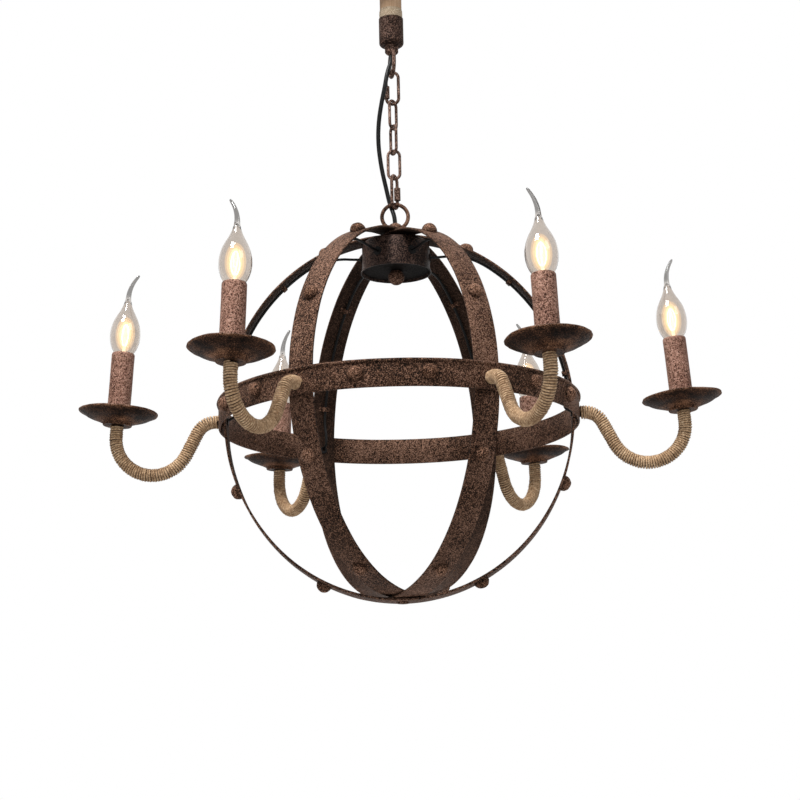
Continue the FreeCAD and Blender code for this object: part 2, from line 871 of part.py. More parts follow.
def arm_path(start, overrun):
    """The arm's centre line in the XZ plane: out of the belt, down, round the bow and up.

    start is the radius where it begins, overrun how far it goes on past the pan's foot."""

    def on_bow(angle):
        x = bow_r + arm_bow_radius * math.cos(angle)
        return Vector(x, 0, bow_z + arm_bow_radius * math.sin(angle))

    first = on_bow(math.radians(270) - slope)
    corner = Vector(root_corner_r, 0, root_z)
    down = Vector(math.cos(slope), 0, -math.sin(slope))
    bend_start = corner - Vector(root_cut, 0, 0)
    bend_end = corner + down * root_cut
    inward = Vector(-math.sin(slope / 2), 0, -math.cos(slope / 2))
    bend_middle = corner + inward * (arm_root_bend / math.cos(slope / 2) - arm_root_bend)
    top = on_bow(math.radians(360) + lean)
    up = Vector(-math.sin(lean), 0, math.cos(lean))
    end = top + up * (riser + overrun)
    edges = [
        Part.LineSegment(Vector(start, 0, root_z), bend_start),
        Part.Arc(bend_start, bend_middle, bend_end),
        Part.LineSegment(bend_end, first),
        Part.Arc(first, on_bow(math.radians(300)), top),
        Part.LineSegment(top, end),
    ]
    return Part.Wire([edge.toShape() for edge in edges])


def arm_tube(angle):
    start = belt_radius - belt_thick
    outer = swept(arm_path(start, 2 * pan_sheet + 8), arm_tube_dia / 2)
    inner = swept(arm_path(start - 5, 2 * pan_sheet + 12), arm_tube_bore / 2)
    return turned(outer.cut(inner), angle)


def arm_twine(angle):
    """The jute winding over the arm tube, from the belt to the pan."""
    outer = swept(arm_path(belt_radius + 0.6, -gap), twine_dia / 2)
    inner = swept(arm_path(belt_radius - 4, 4), arm_tube_dia / 2 + fit)
    return turned(outer.cut(inner), angle)


# ================= candle: pan, sleeve, lampholder, bulb =================
# These are drawn on the pan's foot, +Z along the candle, and then leaned and placed on an arm.
def on_arm(shape, angle):
    copy = shape.copy()
    copy.Placement = Placement(
        Vector(pan_foot_r, 0, pan_foot_z), Rotation(Vector(0, 1, 0), -arm_lean)
    )
    return turned(copy, angle)


def drip_pan():
    """A spun dish with a stepped hub, a soft shoulder and a wired rim."""
    hole = arm_tube_dia / 2 + run
    hub = pan_hub_radius
    rim = pan_radius - pan_rim_wire / 2
    span = rim - hub
    drop = pan_depth - pan_step
    under = [
        (hub + 0.4, pan_step),
        (hub + 0.20 * span, pan_step + 0.15 * drop),
        (hub + 0.42 * span, pan_step + 0.31 * drop),
        (hub + 0.68 * span, pan_step + 0.50 * drop),
        (hub + 0.88 * span, pan_step + 0.75 * drop),
        (rim, pan_depth - 0.5),
    ]
    over = [(r, z + pan_sheet) for r, z in under]
    over[0] = (hub - 0.6, pan_step + pan_sheet)
    over[-1] = (rim - 0.6, pan_depth - 0.1)
    dish = spun(
        [
            line((hole, 0), (hub, 0)),
            line((hub, 0), under[0]),
            smooth(under),
            line(under[-1], over[-1]),
            smooth(over[::-1]),
            line(over[0], (hub - pan_sheet, pan_step)),
            line((hub - pan_sheet, pan_step), (hub - pan_sheet, pan_sheet)),
            line((hub - pan_sheet, pan_sheet), (hole, pan_sheet)),
            line((hole, pan_sheet), (hole, 0)),
        ]
    )
    bead = Part.makeTorus(rim, pan_rim_wire / 2, Vector(0, 0, pan_depth - pan_rim_wire / 4))
    return dish.fuse(bead).removeSplitter()


sleeve_foot = pan_sheet + gap
sleeve_mouth = sleeve_foot + sleeve_length


def candle_sleeve():
    outer = sleeve_dia / 2
    inner = sleeve_bore / 2
    edge = min(sleeve_round, 0.45 * (outer - inner))
    return spun_outline(
        [
            (inner, sleeve_foot),
            (outer, sleeve_foot),
            (outer, sleeve_mouth - edge),
            (outer - edge, sleeve_mouth),
            (inner, sleeve_mouth),
        ]
    )


holder_top = sleeve_mouth - holder_below_mouth


def lampholder():
    """The candle lampholder inside the sleeve, screwed down on the arm tube's end."""
    body = rod(holder_dia / 2, pan_sheet + gap, holder_top)
    body = body.cut(rod(arm_tube_dia / 2 + fit, 0, 2 * pan_sheet + 10))
    body = body.cut(rod(lamp_wire_dia, 2 * pan_sheet + 8, 2 * pan_sheet + 22))
    return body.cut(rod(bulb_cap_dia / 2 + run, holder_top - holder_well, holder_top + 1))


def bulb_outline(wall):
    """(radius, height) points up the glass, from the cap to the start of the bent tip."""
    full = bulb_radius - wall
    return [
        (0.34 * full, sleeve_mouth - bulb_cap_drop - 3),
        (0.345 * full, sleeve_mouth - bulb_cap_drop),
        (0.49 * full, sleeve_mouth - 5),
        (0.66 * full, sleeve_mouth + 1),
        (0.83 * full, sleeve_mouth + 6),
        (0.96 * full, sleeve_mouth + 13),
        (full, sleeve_mouth + 20.5),
        (0.96 * full, sleeve_mouth + 27.5),
        (0.86 * full, sleeve_mouth + 34),
        (0.70 * full, sleeve_mouth + 40),
        (0.50 * full, sleeve_mouth + 46),
        (0.34 * full, sleeve_mouth + 51.5),
        (0.235 * full, sleeve_mouth + 57),
        (0.18 * full, sleeve_mouth + 62),
    ]


def bulb_body(points):
    foot = points[0]
    top = points[-1]
    return spun(
        [
            line((0, foot[1]), foot),
            smooth(points),
            line(top, (0, top[1])),
            line((0, top[1]), (0, foot[1])),
        ]
    )


def bulb_tip(bend):
    """The drawn-out flame tip: rings that lean over along an arc, joined by one skin."""
    base_radius, base_z = bulb_outline(0)[-1]
    long = sleeve_mouth + bulb_height - base_z
    rings = []
    steps = 5
    for i in range(steps + 1):
        share = i / steps
        tilt = math.radians(40) * share
        x = 0.36 * long * share**2
        z = base_z + long * (share - 0.06 * share**2)
        along = Vector(math.sin(tilt), 0, math.cos(tilt))
        radius = base_radius * (1 - 0.62 * share)
        rings.append(Part.Wire(Part.makeCircle(radius, Vector(x, 0, z), along)))
    return turned(Part.makeLoft(rings, True), bend)


def bulb(bend):
    """A candle bulb: glass envelope, screw cap with its contact, and the filament's mount."""
    outer = bulb_outline(0)
    inner = bulb_outline(bulb_glass)
    inner[0] = (inner[0][0], inner[0][1] + bulb_glass)
    glass = bulb_body(outer).cut(bulb_body(inner[:-1])).fuse(bulb_tip(bend))
    neck = outer[0][0]
    cap_top = sleeve_mouth - bulb_cap_drop
    cap_foot = cap_top - bulb_cap_length
    cap = rod(bulb_cap_dia / 2, cap_foot, cap_top)
    cap = cap.cut(rod(neck + 3 * gap, outer[0][1] - gap, cap_top + 1))
    cap = cap.fuse(rod(bulb_contact, cap_foot - bulb_contact / 2, cap_foot)).removeSplitter()
    foot = inner[0][1]
    mount = spun_outline(
        [
            (0, foot),
            (0.7 * neck, foot),
            (0.5 * neck, foot + 6),
            (0.2 * neck, foot + 14),
            (0.16 * neck, foot + 26),
            (0, foot + 26),
        ]
    )
    hairpin = [
        Vector(-0.4, 0, foot + 24),
        Vector(-0.3 * bulb_radius, 0, foot + 34),
        Vector(-0.2 * bulb_radius, 0, foot + 44),
        Vector(0.2 * bulb_radius, 0, foot + 44),
        Vector(0.3 * bulb_radius, 0, foot + 34),
        Vector(0.4, 0, foot + 24),
    ]
    filament = swept(bent_path(hairpin)[0], 0.35)
    return Part.makeCompound([glass.removeSplitter(), cap, mount.fuse(filament)])


# ================= write the pieces =================
os.makedirs("parts", exist_ok=True)

save("ceiling_bracket", ceiling_bracket())
save("canopy", canopy())
save("canopy_screws", canopy_screw(-1), canopy_screw(1))
save("terminal_block", terminal_block())
save("stem_tube", stem_tube())
save(
    "stem_nuts",
    stem_nut(-bracket_thick - stem_nut_height),
    stem_nut(canopy_floor + canopy_wall),
)
save("stem_sheath", stem_sheath())
save("ferrule", ferrule())
save("upper_loop", upper_loop())

save("quick_link_upper", quick_link(0, -1))
save("quick_link_upper_nut", quick_link_nut(0, -1, quick_nut_drops[0]))
for index in (1, 2, 3):
    save("chain_link_%d" % (index + 1), chain_link(index))
save("quick_link_lower", quick_link(4, 1))
save("quick_link_lower_nut", quick_link_nut(4, 1, quick_nut_drops[1]))
save("supply_cable", supply_cable())

save("hub_loop", hub_loop())
save("hub_nipple", hub_nipple())
save("hub_nuts", hub_nut(drum_top + gap / 2), hub_nut(drum_top - drum_wall - hub_nut_height))
save("hub_drum", hub_drum())
save("hub_cover", hub_cover())
save("hub_finial", hub_finial())
save("wire_grommets", *wire_grommets())

for index, name in enumerate(hoop_names):
    save(name, hoop(index))
save("belt_ring", belt())
save("hoop_rivets", *hoop_rivets())
save("belt_rivets", *belt_rivets())
save("pole_rivet", pole_rivet())
save("belt_spacers", *[belt_spacer(angle) for angle in arm_angles])
save("lamp_wires", *lamp_wires())
save("wire_clips", *wire_clips())

save("arm_tubes", *[arm_tube(angle) for angle in arm_angles])
save("lampholders", *[on_arm(lampholder(), angle) for angle in arm_angles])
for number, angle in enumerate(arm_angles, start=1):
    save("arm_twine_%d" % number, arm_twine(angle))
    save("drip_pan_%d" % number, on_arm(drip_pan(), angle))
    save("candle_sleeve_%d" % number, on_arm(candle_sleeve(), angle))
    save("bulb_%d" % number, on_arm(bulb(bulb_tip_bends[number - 1] - angle), angle))

print("pivot heights:", " ".join("%.3f" % z for z in pivots))
print("orb centre %.3f, hub loop %.3f, upper loop %.3f" % (orb_z, hub_loop_z, upper_loop_z))
print("pan foot r %.3f z %.3f, bow radius %.3f" % (pan_foot_r, pan_foot_z, arm_bow_radius))
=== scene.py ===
import math
import random

import bmesh
import bpy
import numpy as np
from mathutils import Matrix, Vector
from mathutils.kdtree import KDTree


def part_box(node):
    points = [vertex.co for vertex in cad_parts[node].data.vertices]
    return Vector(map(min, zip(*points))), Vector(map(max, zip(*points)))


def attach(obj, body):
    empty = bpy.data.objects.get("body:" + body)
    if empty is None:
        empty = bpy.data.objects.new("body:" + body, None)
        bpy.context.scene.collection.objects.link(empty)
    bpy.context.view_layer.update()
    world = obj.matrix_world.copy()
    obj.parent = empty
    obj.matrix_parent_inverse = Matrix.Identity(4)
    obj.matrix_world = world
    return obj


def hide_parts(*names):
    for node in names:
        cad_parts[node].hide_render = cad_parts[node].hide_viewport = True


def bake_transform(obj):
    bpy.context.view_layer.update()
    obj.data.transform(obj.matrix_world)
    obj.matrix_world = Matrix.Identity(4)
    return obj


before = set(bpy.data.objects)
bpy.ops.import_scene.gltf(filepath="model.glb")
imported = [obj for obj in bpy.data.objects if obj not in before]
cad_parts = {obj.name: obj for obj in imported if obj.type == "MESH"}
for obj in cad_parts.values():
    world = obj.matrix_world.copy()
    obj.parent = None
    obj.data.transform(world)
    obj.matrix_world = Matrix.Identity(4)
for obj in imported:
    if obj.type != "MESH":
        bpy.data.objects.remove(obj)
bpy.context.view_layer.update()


# Camera: it stands 2.27 m in front of the orb, a little below it, and looks up at it. The
# object hangs a degree out of plumb in the picture, so the camera is rolled by as much. The
# picture's size, the focal length and the aim, where the orb's middle lies, are in pixels.
ORB_Z = -0.528
PICTURE_SIZE = 800
FOCAL_LENGTH = 2139.1
CAMERA_AIM = (399.2, 415.0)
SENSOR_WIDTH = 36.0
CAMERA_DISTANCE = 2.274
CAMERA_RISE = math.radians(12.79)
CAMERA_ROLL = math.radians(-1.2)
CAMERA_SIDE = math.radians(1.68)


def placed(name, data):
    """A new object in the scene, with the given data."""
    thing = bpy.data.objects.new(name, data)
    bpy.context.collection.objects.link(thing)
    return thing


ahead = Vector((0, math.cos(CAMERA_RISE), math.sin(CAMERA_RISE)))
ahead = Matrix.Rotation(CAMERA_SIDE, 3, "Z") @ ahead
turn = ahead.to_track_quat("-Z", "Y").to_matrix().to_4x4()
camera_data = bpy.data.cameras.new("camera")
camera_data.sensor_width = SENSOR_WIDTH
camera_data.lens = SENSOR_WIDTH * FOCAL_LENGTH / PICTURE_SIZE
camera_data.shift_x = (PICTURE_SIZE / 2 - CAMERA_AIM[0]) / PICTURE_SIZE
camera_data.shift_y = (CAMERA_AIM[1] - PICTURE_SIZE / 2) / PICTURE_SIZE
camera_data.clip_end = 40
camera = placed("camera", camera_data)
place = Matrix.Translation(Vector((0, 0, ORB_Z)) - ahead * CAMERA_DISTANCE)
camera.matrix_world = place @ turn @ Matrix.Rotation(CAMERA_ROLL, 4, "Z")
bpy.context.scene.camera = camera


# Supply cable: a round black rubber cable that leaves the upper loop's boss, hangs beside the
# chain in one loose bow and goes into the boss on the hub. It is made in stretches, one across
# each joint of the chain.
def new_node(tree, kind, sockets, settings):
    """A node with its settings, and with its sockets linked or set."""
    node = tree.nodes.new(kind)
    for key, value in settings.items():
        setattr(node, key, value)
    for key, value in (sockets or {}).items():
        if isinstance(value, bpy.types.NodeSocket):
            tree.links.new(value, node.inputs[key])
        else:
            node.inputs[key].default_value = value
    return node


class Shader:
    """A node material, or the world's surround, built up from named nodes."""

    def __init__(self, name, home=None, kind="Material"):
        self.material = (bpy.data.materials if home is None else home).new(name)
        self.material.use_nodes = True
        self.tree = self.material.node_tree
        self.tree.nodes.clear()
        self.out = self.add("Output" + kind)
        self.place = self.add("TexCoord").outputs["Object"]

    def add(self, kind, sockets=None, **settings):
        return new_node(self.tree, "ShaderNode" + kind, sockets, settings)

    def put(self, kind, sockets=None, **settings):
        return self.add(kind, sockets, **settings).outputs[0]


    def noise(self, scale, detail=3.0, rough=0.55, place=None):
        sockets = {"Vector": place or self.place, "Scale": scale, "Detail": detail,
                   "Roughness": rough}
        return self.add("TexNoise", sockets).outputs["Fac"]

    def ramp(self, factor, stops):
        node = self.add("ValToRGB", {"Fac": factor})
        bar = node.color_ramp
        while len(bar.elements) < len(stops):
            bar.elements.new(0.5)
        for element, (at, colour) in zip(bar.elements, stops):
            element.position = at
            element.color = (*colour, 1) if len(colour) == 3 else colour
        return node.outputs["Color"]

    def span(self, value, low, high, to_low=0.0, to_high=1.0):
        sockets = {"Value": value, 1: low, 2: high, 3: to_low, 4: to_high}
        return self.put("MapRange", sockets)

    def mix(self, factor, a, b, how="MIX"):
        node = self.add("Mix", {0: factor, 6: a, 7: b}, data_type="RGBA", blend_type=how)
        return node.outputs[2]

    def sums(self, how, a, b=0.0):
        return self.put("Math", {0: a, 1: b}, operation=how)

    def times(self, a, b):
        return self.sums("MULTIPLY", a, b)

    def weighed(self, *pairs):
        """The sum of values, each taken with its weight."""
        total, *others = [self.times(value, weight) for value, weight in pairs]
        for part in others:
            total = self.sums("ADD", total, part)
        return total

    def vector(self, how, a, b=(0, 0, 0), result=0):
        return self.add("VectorMath", {0: a, 1: b}, operation=how).outputs[result]

    def value(self, name):
        """A value that the mesh carries at each of its points."""
        return self.add("Attribute", attribute_name=name).outputs["Fac"]

    def bump(self, height, depth, strength=1.0):
        sockets = {"Height": height, "Distance": depth, "Strength": strength}
        return self.add("Bump", sockets).outputs["Normal"]

    def mixed(self, share, first, second):
        node = self.add("MixShader", {0: share, 1: first, 2: second})
        self.tree.links.new(node.outputs[0], self.out.inputs[0])
        return self.material

    def surface(self, **sockets):
        named = {}
        for key, value in sockets.items():
            named[key.replace("_", " ").title().replace("Ior", "IOR")] = value
        node = self.add("BsdfPrincipled", named)
        self.tree.links.new(node.outputs[0], self.out.inputs[0])
        return self.material


def rgb(r, g, b):
    return (r, g, b, 1.0)


def black_rubber(name, tone, gloss):
    s = Shader(name)
    scuff = s.noise(900, 4)
    smear = s.noise(60, 2)
    colour = s.mix(smear, rgb(tone * 0.6, tone * 0.6, tone * 0.6),
                   rgb(tone * 1.5, tone * 1.45, tone * 1.4))
    rough = s.span(scuff, 0.3, 0.7, gloss - 0.06, gloss + 0.1)
    return s.surface(base_color=colour, roughness=rough, specular_ior_level=0.14,
                     normal=s.bump(scuff, 0.00004))


def tube_mesh(points, radius, sides, capped=True):
    """Rings of a round tube along points, carried without twist."""
    points = [Vector(p) for p in points]
    verts, faces = [], []
    ahead = (points[1] - points[0]).normalized()
    side = ahead.orthogonal().normalized()
    for i, p in enumerate(points):
        before = points[max(i - 1, 0)]
        after = points[min(i + 1, len(points) - 1)]
        along = (after - before).normalized()
        side = (side - along * side.dot(along)).normalized()
        up = along.cross(side)
        r = radius(i / (len(points) - 1)) if callable(radius) else radius
        for k in range(sides):
            a = 2 * math.pi * k / sides
            verts.append(p + side * (r * math.cos(a)) + up * (r * math.sin(a)))
    for i in range(len(points) - 1):
        for k in range(sides):
            a, b = i * sides + k, i * sides + (k + 1) % sides
            faces.append((a, b, b + sides, a + sides))
    if capped:
        faces.append(tuple(reversed(range(sides))))
        faces.append(tuple(range(len(verts) - sides, len(verts))))
    return verts, faces


def join(verts, faces, more, more_faces):
    """Adds the points and faces of a second mesh to those of a first."""
    faces += [tuple(v + len(verts) for v in f) for f in more_faces]
    verts += more


def point_values(thing, name, values):
    thing.data.attributes.new(name, "FLOAT", "POINT").data.foreach_set("value", values)


def smoothed(mesh, sharp):
    mesh.polygons.foreach_set("use_smooth", [True] * len(mesh.polygons))
    mesh.set_sharp_from_angle(angle=math.radians(sharp))


def mesh_object(name, verts, faces, material, smooth=True, sharp=40):
    mesh = bpy.data.meshes.new(name)
    mesh.from_pydata([tuple(v) for v in verts], [], faces)
    mesh.materials.append(material)
    if smooth:
        smoothed(mesh, sharp)
    mesh.update()
    return placed(name, mesh)


def smooth_line(points, detail):
    """Points read from the NURBS spline that a route's points control."""
    curve = bpy.data.curves.new("route", "CURVE")
    curve.dimensions = "3D"
    spline = curve.splines.new("NURBS")
    spline.points.add(len(points) - 1)
    for point, place_ in zip(spline.points, points):
        point.co = (*place_, 1)
    spline.order_u = 3
    spline.use_endpoint_u = True
    curve.resolution_u = detail
    holder = placed("route", curve)
    bpy.context.view_layer.update()
    mesh = bpy.data.meshes.new_from_object(holder)
    line = [v.co.copy() for v in mesh.vertices]
    bpy.data.objects.remove(holder)
    return line


CABLE_THICK = 0.0048
CABLE_ROUTE = [
    (0, 0, 422), (0, 0, 402), (-5.0, -6.0, 386), (-8.0, -7.8, 368), (-12.2, -7.2, 349),
    (-16.0, -4.0, 327), (-16.8, -0.5, 303), (-13.8, 3.0, 277), (-8.8, 5.8, 253),
    (-5.6, 6.2, 237), (-1.7, 2.1, 225.5), (0, 0, 216), (0, 0, 204),
]
CHAIN_SEAMS = [374.5, 342.0, 309.5, 277.5, 245.5]
CHAIN_JOINTS = [383.2, 350.35, 321.55, 292.65, 263.75, 230.45]

cable_rubber = black_rubber("cable rubber", 0.004, 0.30)
cable_line = smooth_line([(x / 1000, y / 1000, ORB_Z + z / 1000) for x, y, z in CABLE_ROUTE], 16)
cuts = [0]
for seam in CHAIN_SEAMS:
    cuts.append(min(range(len(cable_line)),
                    key=lambda i: abs(cable_line[i].z - ORB_Z - seam / 1000)))
cuts.append(len(cable_line) - 1)
for i in range(6):
    stretch = cable_line[cuts[i]:cuts[i + 1] + 1]
    verts, faces = tube_mesh(stretch, CABLE_THICK / 2, 20)
    piece = mesh_object("supply_cable_%d" % (i + 1), verts, faces, cable_rubber)
    bend = ORB_Z + CHAIN_JOINTS[i] / 1000
    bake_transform(piece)
    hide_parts("supply_cable")
    long = sum((b - a).length for a, b in zip(stretch, stretch[1:]))


# Hoops: three flat iron bands bent to an oval, which stack at both poles. They are hand
# hammered and painted a rusty brown, with fine copper and pinkish-grey flecks.
HOOP_HALF_WIDTH = 0.1856
HOOP_HALF_HEIGHT = 0.1985
HOOP_WIDTH = 0.028
HOOP_THICK = 0.0025
HOOP_STEP = 0.0031
HOOP_RISE = 0.00145
HOOPS = [("hoop_front_left", 60, HOOP_STEP), ("hoop_front_right", 120, 0.0),
         ("hoop_side", 0, -HOOP_STEP)]
# Spans for painted shade: how far a face turns outward from the orb's middle ("inside", "seat") or up
# ("below"), from unshaded to fully shaded.
PAINTED_SHADE_SIDES = {"inside": (0.25, -0.25), "seat": (0.62, 0.05), "below": (-0.25, -0.75)}


def rusty_iron(name, tones, grain=950.0, painted_shade_side=None, flecks=0.35, rough=0.66, metal=0.2):
    """Painted rust: tones run from the pits to the rubbed high spots. The shade side names faces
    that are darkened most of the way to near black as painted shade: "inside" ones point at the
    orb's middle, "below" ones down, and "seat" ones stand round the foot of a rivet, as a painted
    contact shadow."""
    s = Shader(name)
    fine = s.noise(grain, 5, 0.62)
    middle = s.noise(grain * 0.33, 3, 0.5)
    wide = s.noise(22, 2, 0.5)
    speck = s.add("TexVoronoi", {"Vector": s.place, "Scale": grain * 1.15, "Randomness": 1.0})
    speck = s.span(speck.outputs["Distance"], 0.10, 0.42, 1.0, 0.0)
    shift = s.weighed((fine, 0.84), (middle, 0.16), (s.sums("SUBTRACT", wide, 0.5), 0.16))
    colour = s.ramp(shift, list(zip((0.435, 0.48, 0.525, 0.58), tones)))
    copper = s.mix(s.span(wide, 0.4, 0.6), rgb(0.30, 0.135, 0.06), rgb(0.30, 0.22, 0.20))
    where = s.times(s.times(speck, s.span(middle, 0.46, 0.60)), flecks)
    colour = s.mix(where, colour, copper)
    if painted_shade_side:
        facing = s.add("TexCoord").outputs["Normal"]
        if painted_shade_side == "below":
            turned = s.add("SeparateXYZ", {0: facing}).outputs[2]
        else:
            outward = s.vector("NORMALIZE", s.vector("SUBTRACT", s.place, (0, 0, ORB_Z)))
            turned = s.vector("DOT_PRODUCT", outward, facing, "Value")
        # Faces on the shade side are darkened towards near black: painted shade.
        painted_shade_share = s.span(turned, *PAINTED_SHADE_SIDES[painted_shade_side])
        shade_tone = s.mix(0.72, colour, rgb(0.012, 0.007, 0.005))
        colour = s.mix(painted_shade_share, colour, shade_tone)
    height = s.sums("ADD", shift, s.times(speck, 0.12))
    roughness = s.span(fine, 0.35, 0.65, rough + 0.14, rough - 0.14)
    return s.surface(base_color=colour, roughness=roughness, metallic=metal, specular_ior_level=0.06,
                     normal=s.bump(height, 0.0008, 0.8))


class Tree:
    """A geometry tree with named inputs, whose result becomes one plain mesh."""

    def __init__(self, name, **inputs):
        self.group = bpy.data.node_groups.new(name, "GeometryNodeTree")
        face = self.group.interface
        face.new_socket("Geometry", in_out="INPUT", socket_type="NodeSocketGeometry")
        self.keys = {}
        self.values = inputs
        for key, value in inputs.items():
            kind = {int: "Int", float: "Float", Vector: "Vector"}.get(type(value), "Material")
            item = face.new_socket(key, in_out="INPUT", socket_type="NodeSocket" + kind)
            self.keys[key] = item.identifier
        face.new_socket("Geometry", in_out="OUTPUT", socket_type="NodeSocketGeometry")
        self.start = self.group.nodes.new("NodeGroupInput")
        self.end = self.group.nodes.new("NodeGroupOutput")

    def get(self, key):
        return self.start.outputs[key]

    def add(self, kind, sockets=None, **settings):
        prefix = "" if kind.startswith(("Function", "Shader")) else "GeometryNode"
        return new_node(self.group, prefix + kind, sockets, settings)

    def put(self, kind, sockets=None, **settings):
        return self.add(kind, sockets, **settings).outputs[0]

    def sums(self, how, a, b=0.0):
        return self.put("ShaderNodeMath", {0: a, 1: b}, operation=how)

    def times(self, a, b):
        return self.sums("MULTIPLY", a, b)

    def vector(self, how, a, b=(0, 0, 0), scale=1.0):
        return self.put("ShaderNodeVectorMath", {0: a, 1: b, 3: scale}, operation=how)

    def noise(self, scale, result="Color"):
        sockets = {"Scale": scale, "Detail": 2.0, "W": self.get("seed")}
        return self.add("ShaderNodeTexNoise", sockets, noise_dimensions="4D").outputs[result]

    def shake(self, geometry, scale, size):
        """Moves every point a little way, up to about the size."""
        away = self.vector("SUBTRACT", self.noise(scale), (0.5, 0.5, 0.5))
        away = self.vector("SCALE", away, scale=self.times(size, 2.0))
        return self.put("SetPosition", {0: geometry, "Offset": away})

    def finish(self, geometry, material, smooth=True):
        real = self.put("RealizeInstances", {0: geometry})
        shaded = self.put("SetShadeSmooth", {0: real, 2: smooth})
        painted = self.put("SetMaterial", {0: shaded, 2: material})
        self.group.links.new(painted, self.end.inputs[0])

    def mesh(self, name, holder, sharp=45, **changed):
        """Runs the tree on a holder object and returns its result as a new object."""
        modifier = holder.modifiers.new(name, "NODES")
        modifier.node_group = self.group
        for key, value in {**self.values, **changed}.items():
            modifier[self.keys[key]] = value
        bpy.context.view_layer.update()
        seen = holder.evaluated_get(bpy.context.evaluated_depsgraph_get())
        mesh = bpy.data.meshes.new_from_object(seen)
        holder.modifiers.remove(modifier)
        bpy.data.objects.remove(holder)
        mesh.name = name
        if sharp:
            mesh.set_sharp_from_angle(angle=math.radians(sharp))
        return placed(name, mesh)


def point_holder(name, points, **vectors):
    """A mesh of loose points with vector attributes, for a tree to set things on."""
    mesh = bpy.data.meshes.new(name)
    mesh.from_pydata([tuple(p) for p in points], [], [])
    for key, values in vectors.items():
        layer = mesh.attributes.new(key, "FLOAT_VECTOR", "POINT")
        layer.data.foreach_set("vector", [c for v in values for c in v])
    return placed(name, mesh)


IRON_TONES = [(0.004, 0.003, 0.002), (0.034, 0.016, 0.010), (0.110, 0.055, 0.035),
              (0.290, 0.165, 0.112)]
# The hoops' iron paints shade on the faces turned to the orb's middle; the fittings' iron on the next
# line has no painted shade.
hoop_iron_inner_shade = rusty_iron("hoop iron with painted inner shade", IRON_TONES, painted_shade_side="inside")
unshaded_iron = rusty_iron("iron fittings", IRON_TONES)

hoop_tree = Tree("bent band", half_width=HOOP_HALF_WIDTH, half_height=HOOP_HALF_HEIGHT,
                 width=HOOP_WIDTH, thick=HOOP_THICK, lift=0.0, turn=0.0, uneven=0.00035,
                 seed=3, finish=hoop_iron_inner_shade)
t = hoop_tree
oval = t.put("CurvePrimitiveCircle", {"Resolution": 220, "Radius": 1.0})
inset = t.times(t.get("thick"), 0.5)
size_x = t.sums("SUBTRACT", t.get("half_width"), inset)
size_y = t.sums("SUBTRACT", t.get("half_height"), inset)
size = t.put("ShaderNodeCombineXYZ", {0: size_x, 1: size_y, 2: 1.0})
oval = t.put("Transform", {0: oval, "Scale": size})
section = t.put("CurvePrimitiveQuadrilateral", {"Width": t.get("thick"), "Height": t.get("width")})
section = t.put("FilletCurve", {"Curve": section, "Radius": 0.0006, "Count": 2}, mode="POLY")
band = t.put("CurveToMesh", {"Curve": oval, "Profile Curve": section})
band = t.put("Transform", {0: band, "Rotation": (math.pi / 2, 0, 0)})
band = t.shake(band, 26.0, t.get("uneven"))
spin = t.put("ShaderNodeCombineXYZ", {2: t.get("turn")})
lift = t.put("ShaderNodeCombineXYZ", {2: t.get("lift")})
band = t.put("Transform", {0: band, "Rotation": spin, "Translation": lift})
t.finish(band, t.get("finish"))
for seed, (name, angle, step) in enumerate(HOOPS, start=3):
    hoop = hoop_tree.mesh(name + "_band", point_holder(name, [(0, 0, 0)]), turn=math.radians(angle),
                          lift=ORB_Z + HOOP_RISE + step, seed=seed)
    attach(hoop, "orb")
    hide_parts(name)


# Belt: a rolled flat ring round the orb's middle, with a half-round bead along its top edge
# where the sheet is turned over. Short round spacers hold it off the ribs.
BELT_RADIUS = 0.1915
BELT_HALF = 0.0142
BELT_THICK = 0.0025
BELT_INNER = BELT_RADIUS - BELT_THICK
BEAD_HIGH = 0.004
BEAD_DEEP = 0.0018


def lathe(profile, sides, wobble=None, closed=False):
    """Turns a profile of (radius, height) points about the Z axis."""
    verts, faces, rows = [], [], []
    for r, z in profile:
        if r < 1e-7:
            rows.append([len(verts)] * sides)
            verts.append(Vector((0, 0, z)))
            continue
        rows.append(list(range(len(verts), len(verts) + sides)))
        for k in range(sides):
            a = 2 * math.pi * k / sides
            dr, dz = wobble(a, r, z) if wobble else (0, 0)
            verts.append(Vector(((r + dr) * math.cos(a), (r + dr) * math.sin(a), z + dz)))
    pairs = list(zip(rows, rows[1:])) + ([(rows[-1], rows[0])] if closed else [])
    for low, high in pairs:
        for k in range(sides):
            n = (k + 1) % sides
            ring = [low[k], low[n], high[n], high[k]]
            ring = [v for i, v in enumerate(ring) if v not in ring[:i]]
            if len(ring) > 2:
                faces.append(tuple(ring))
    return verts, faces


def waves(seed, size, turns=(2, 3, 5, 9)):
    """A small unevenness round a turned piece, the same each time for the same seed."""
    dice = random.Random(seed)
    parts = [(n, dice.uniform(0, 2 * math.pi), dice.uniform(0.4, 1.0) / len(turns)) for n in turns]
    return lambda a: size * sum(w * math.sin(n * a + p) for n, p, w in parts)


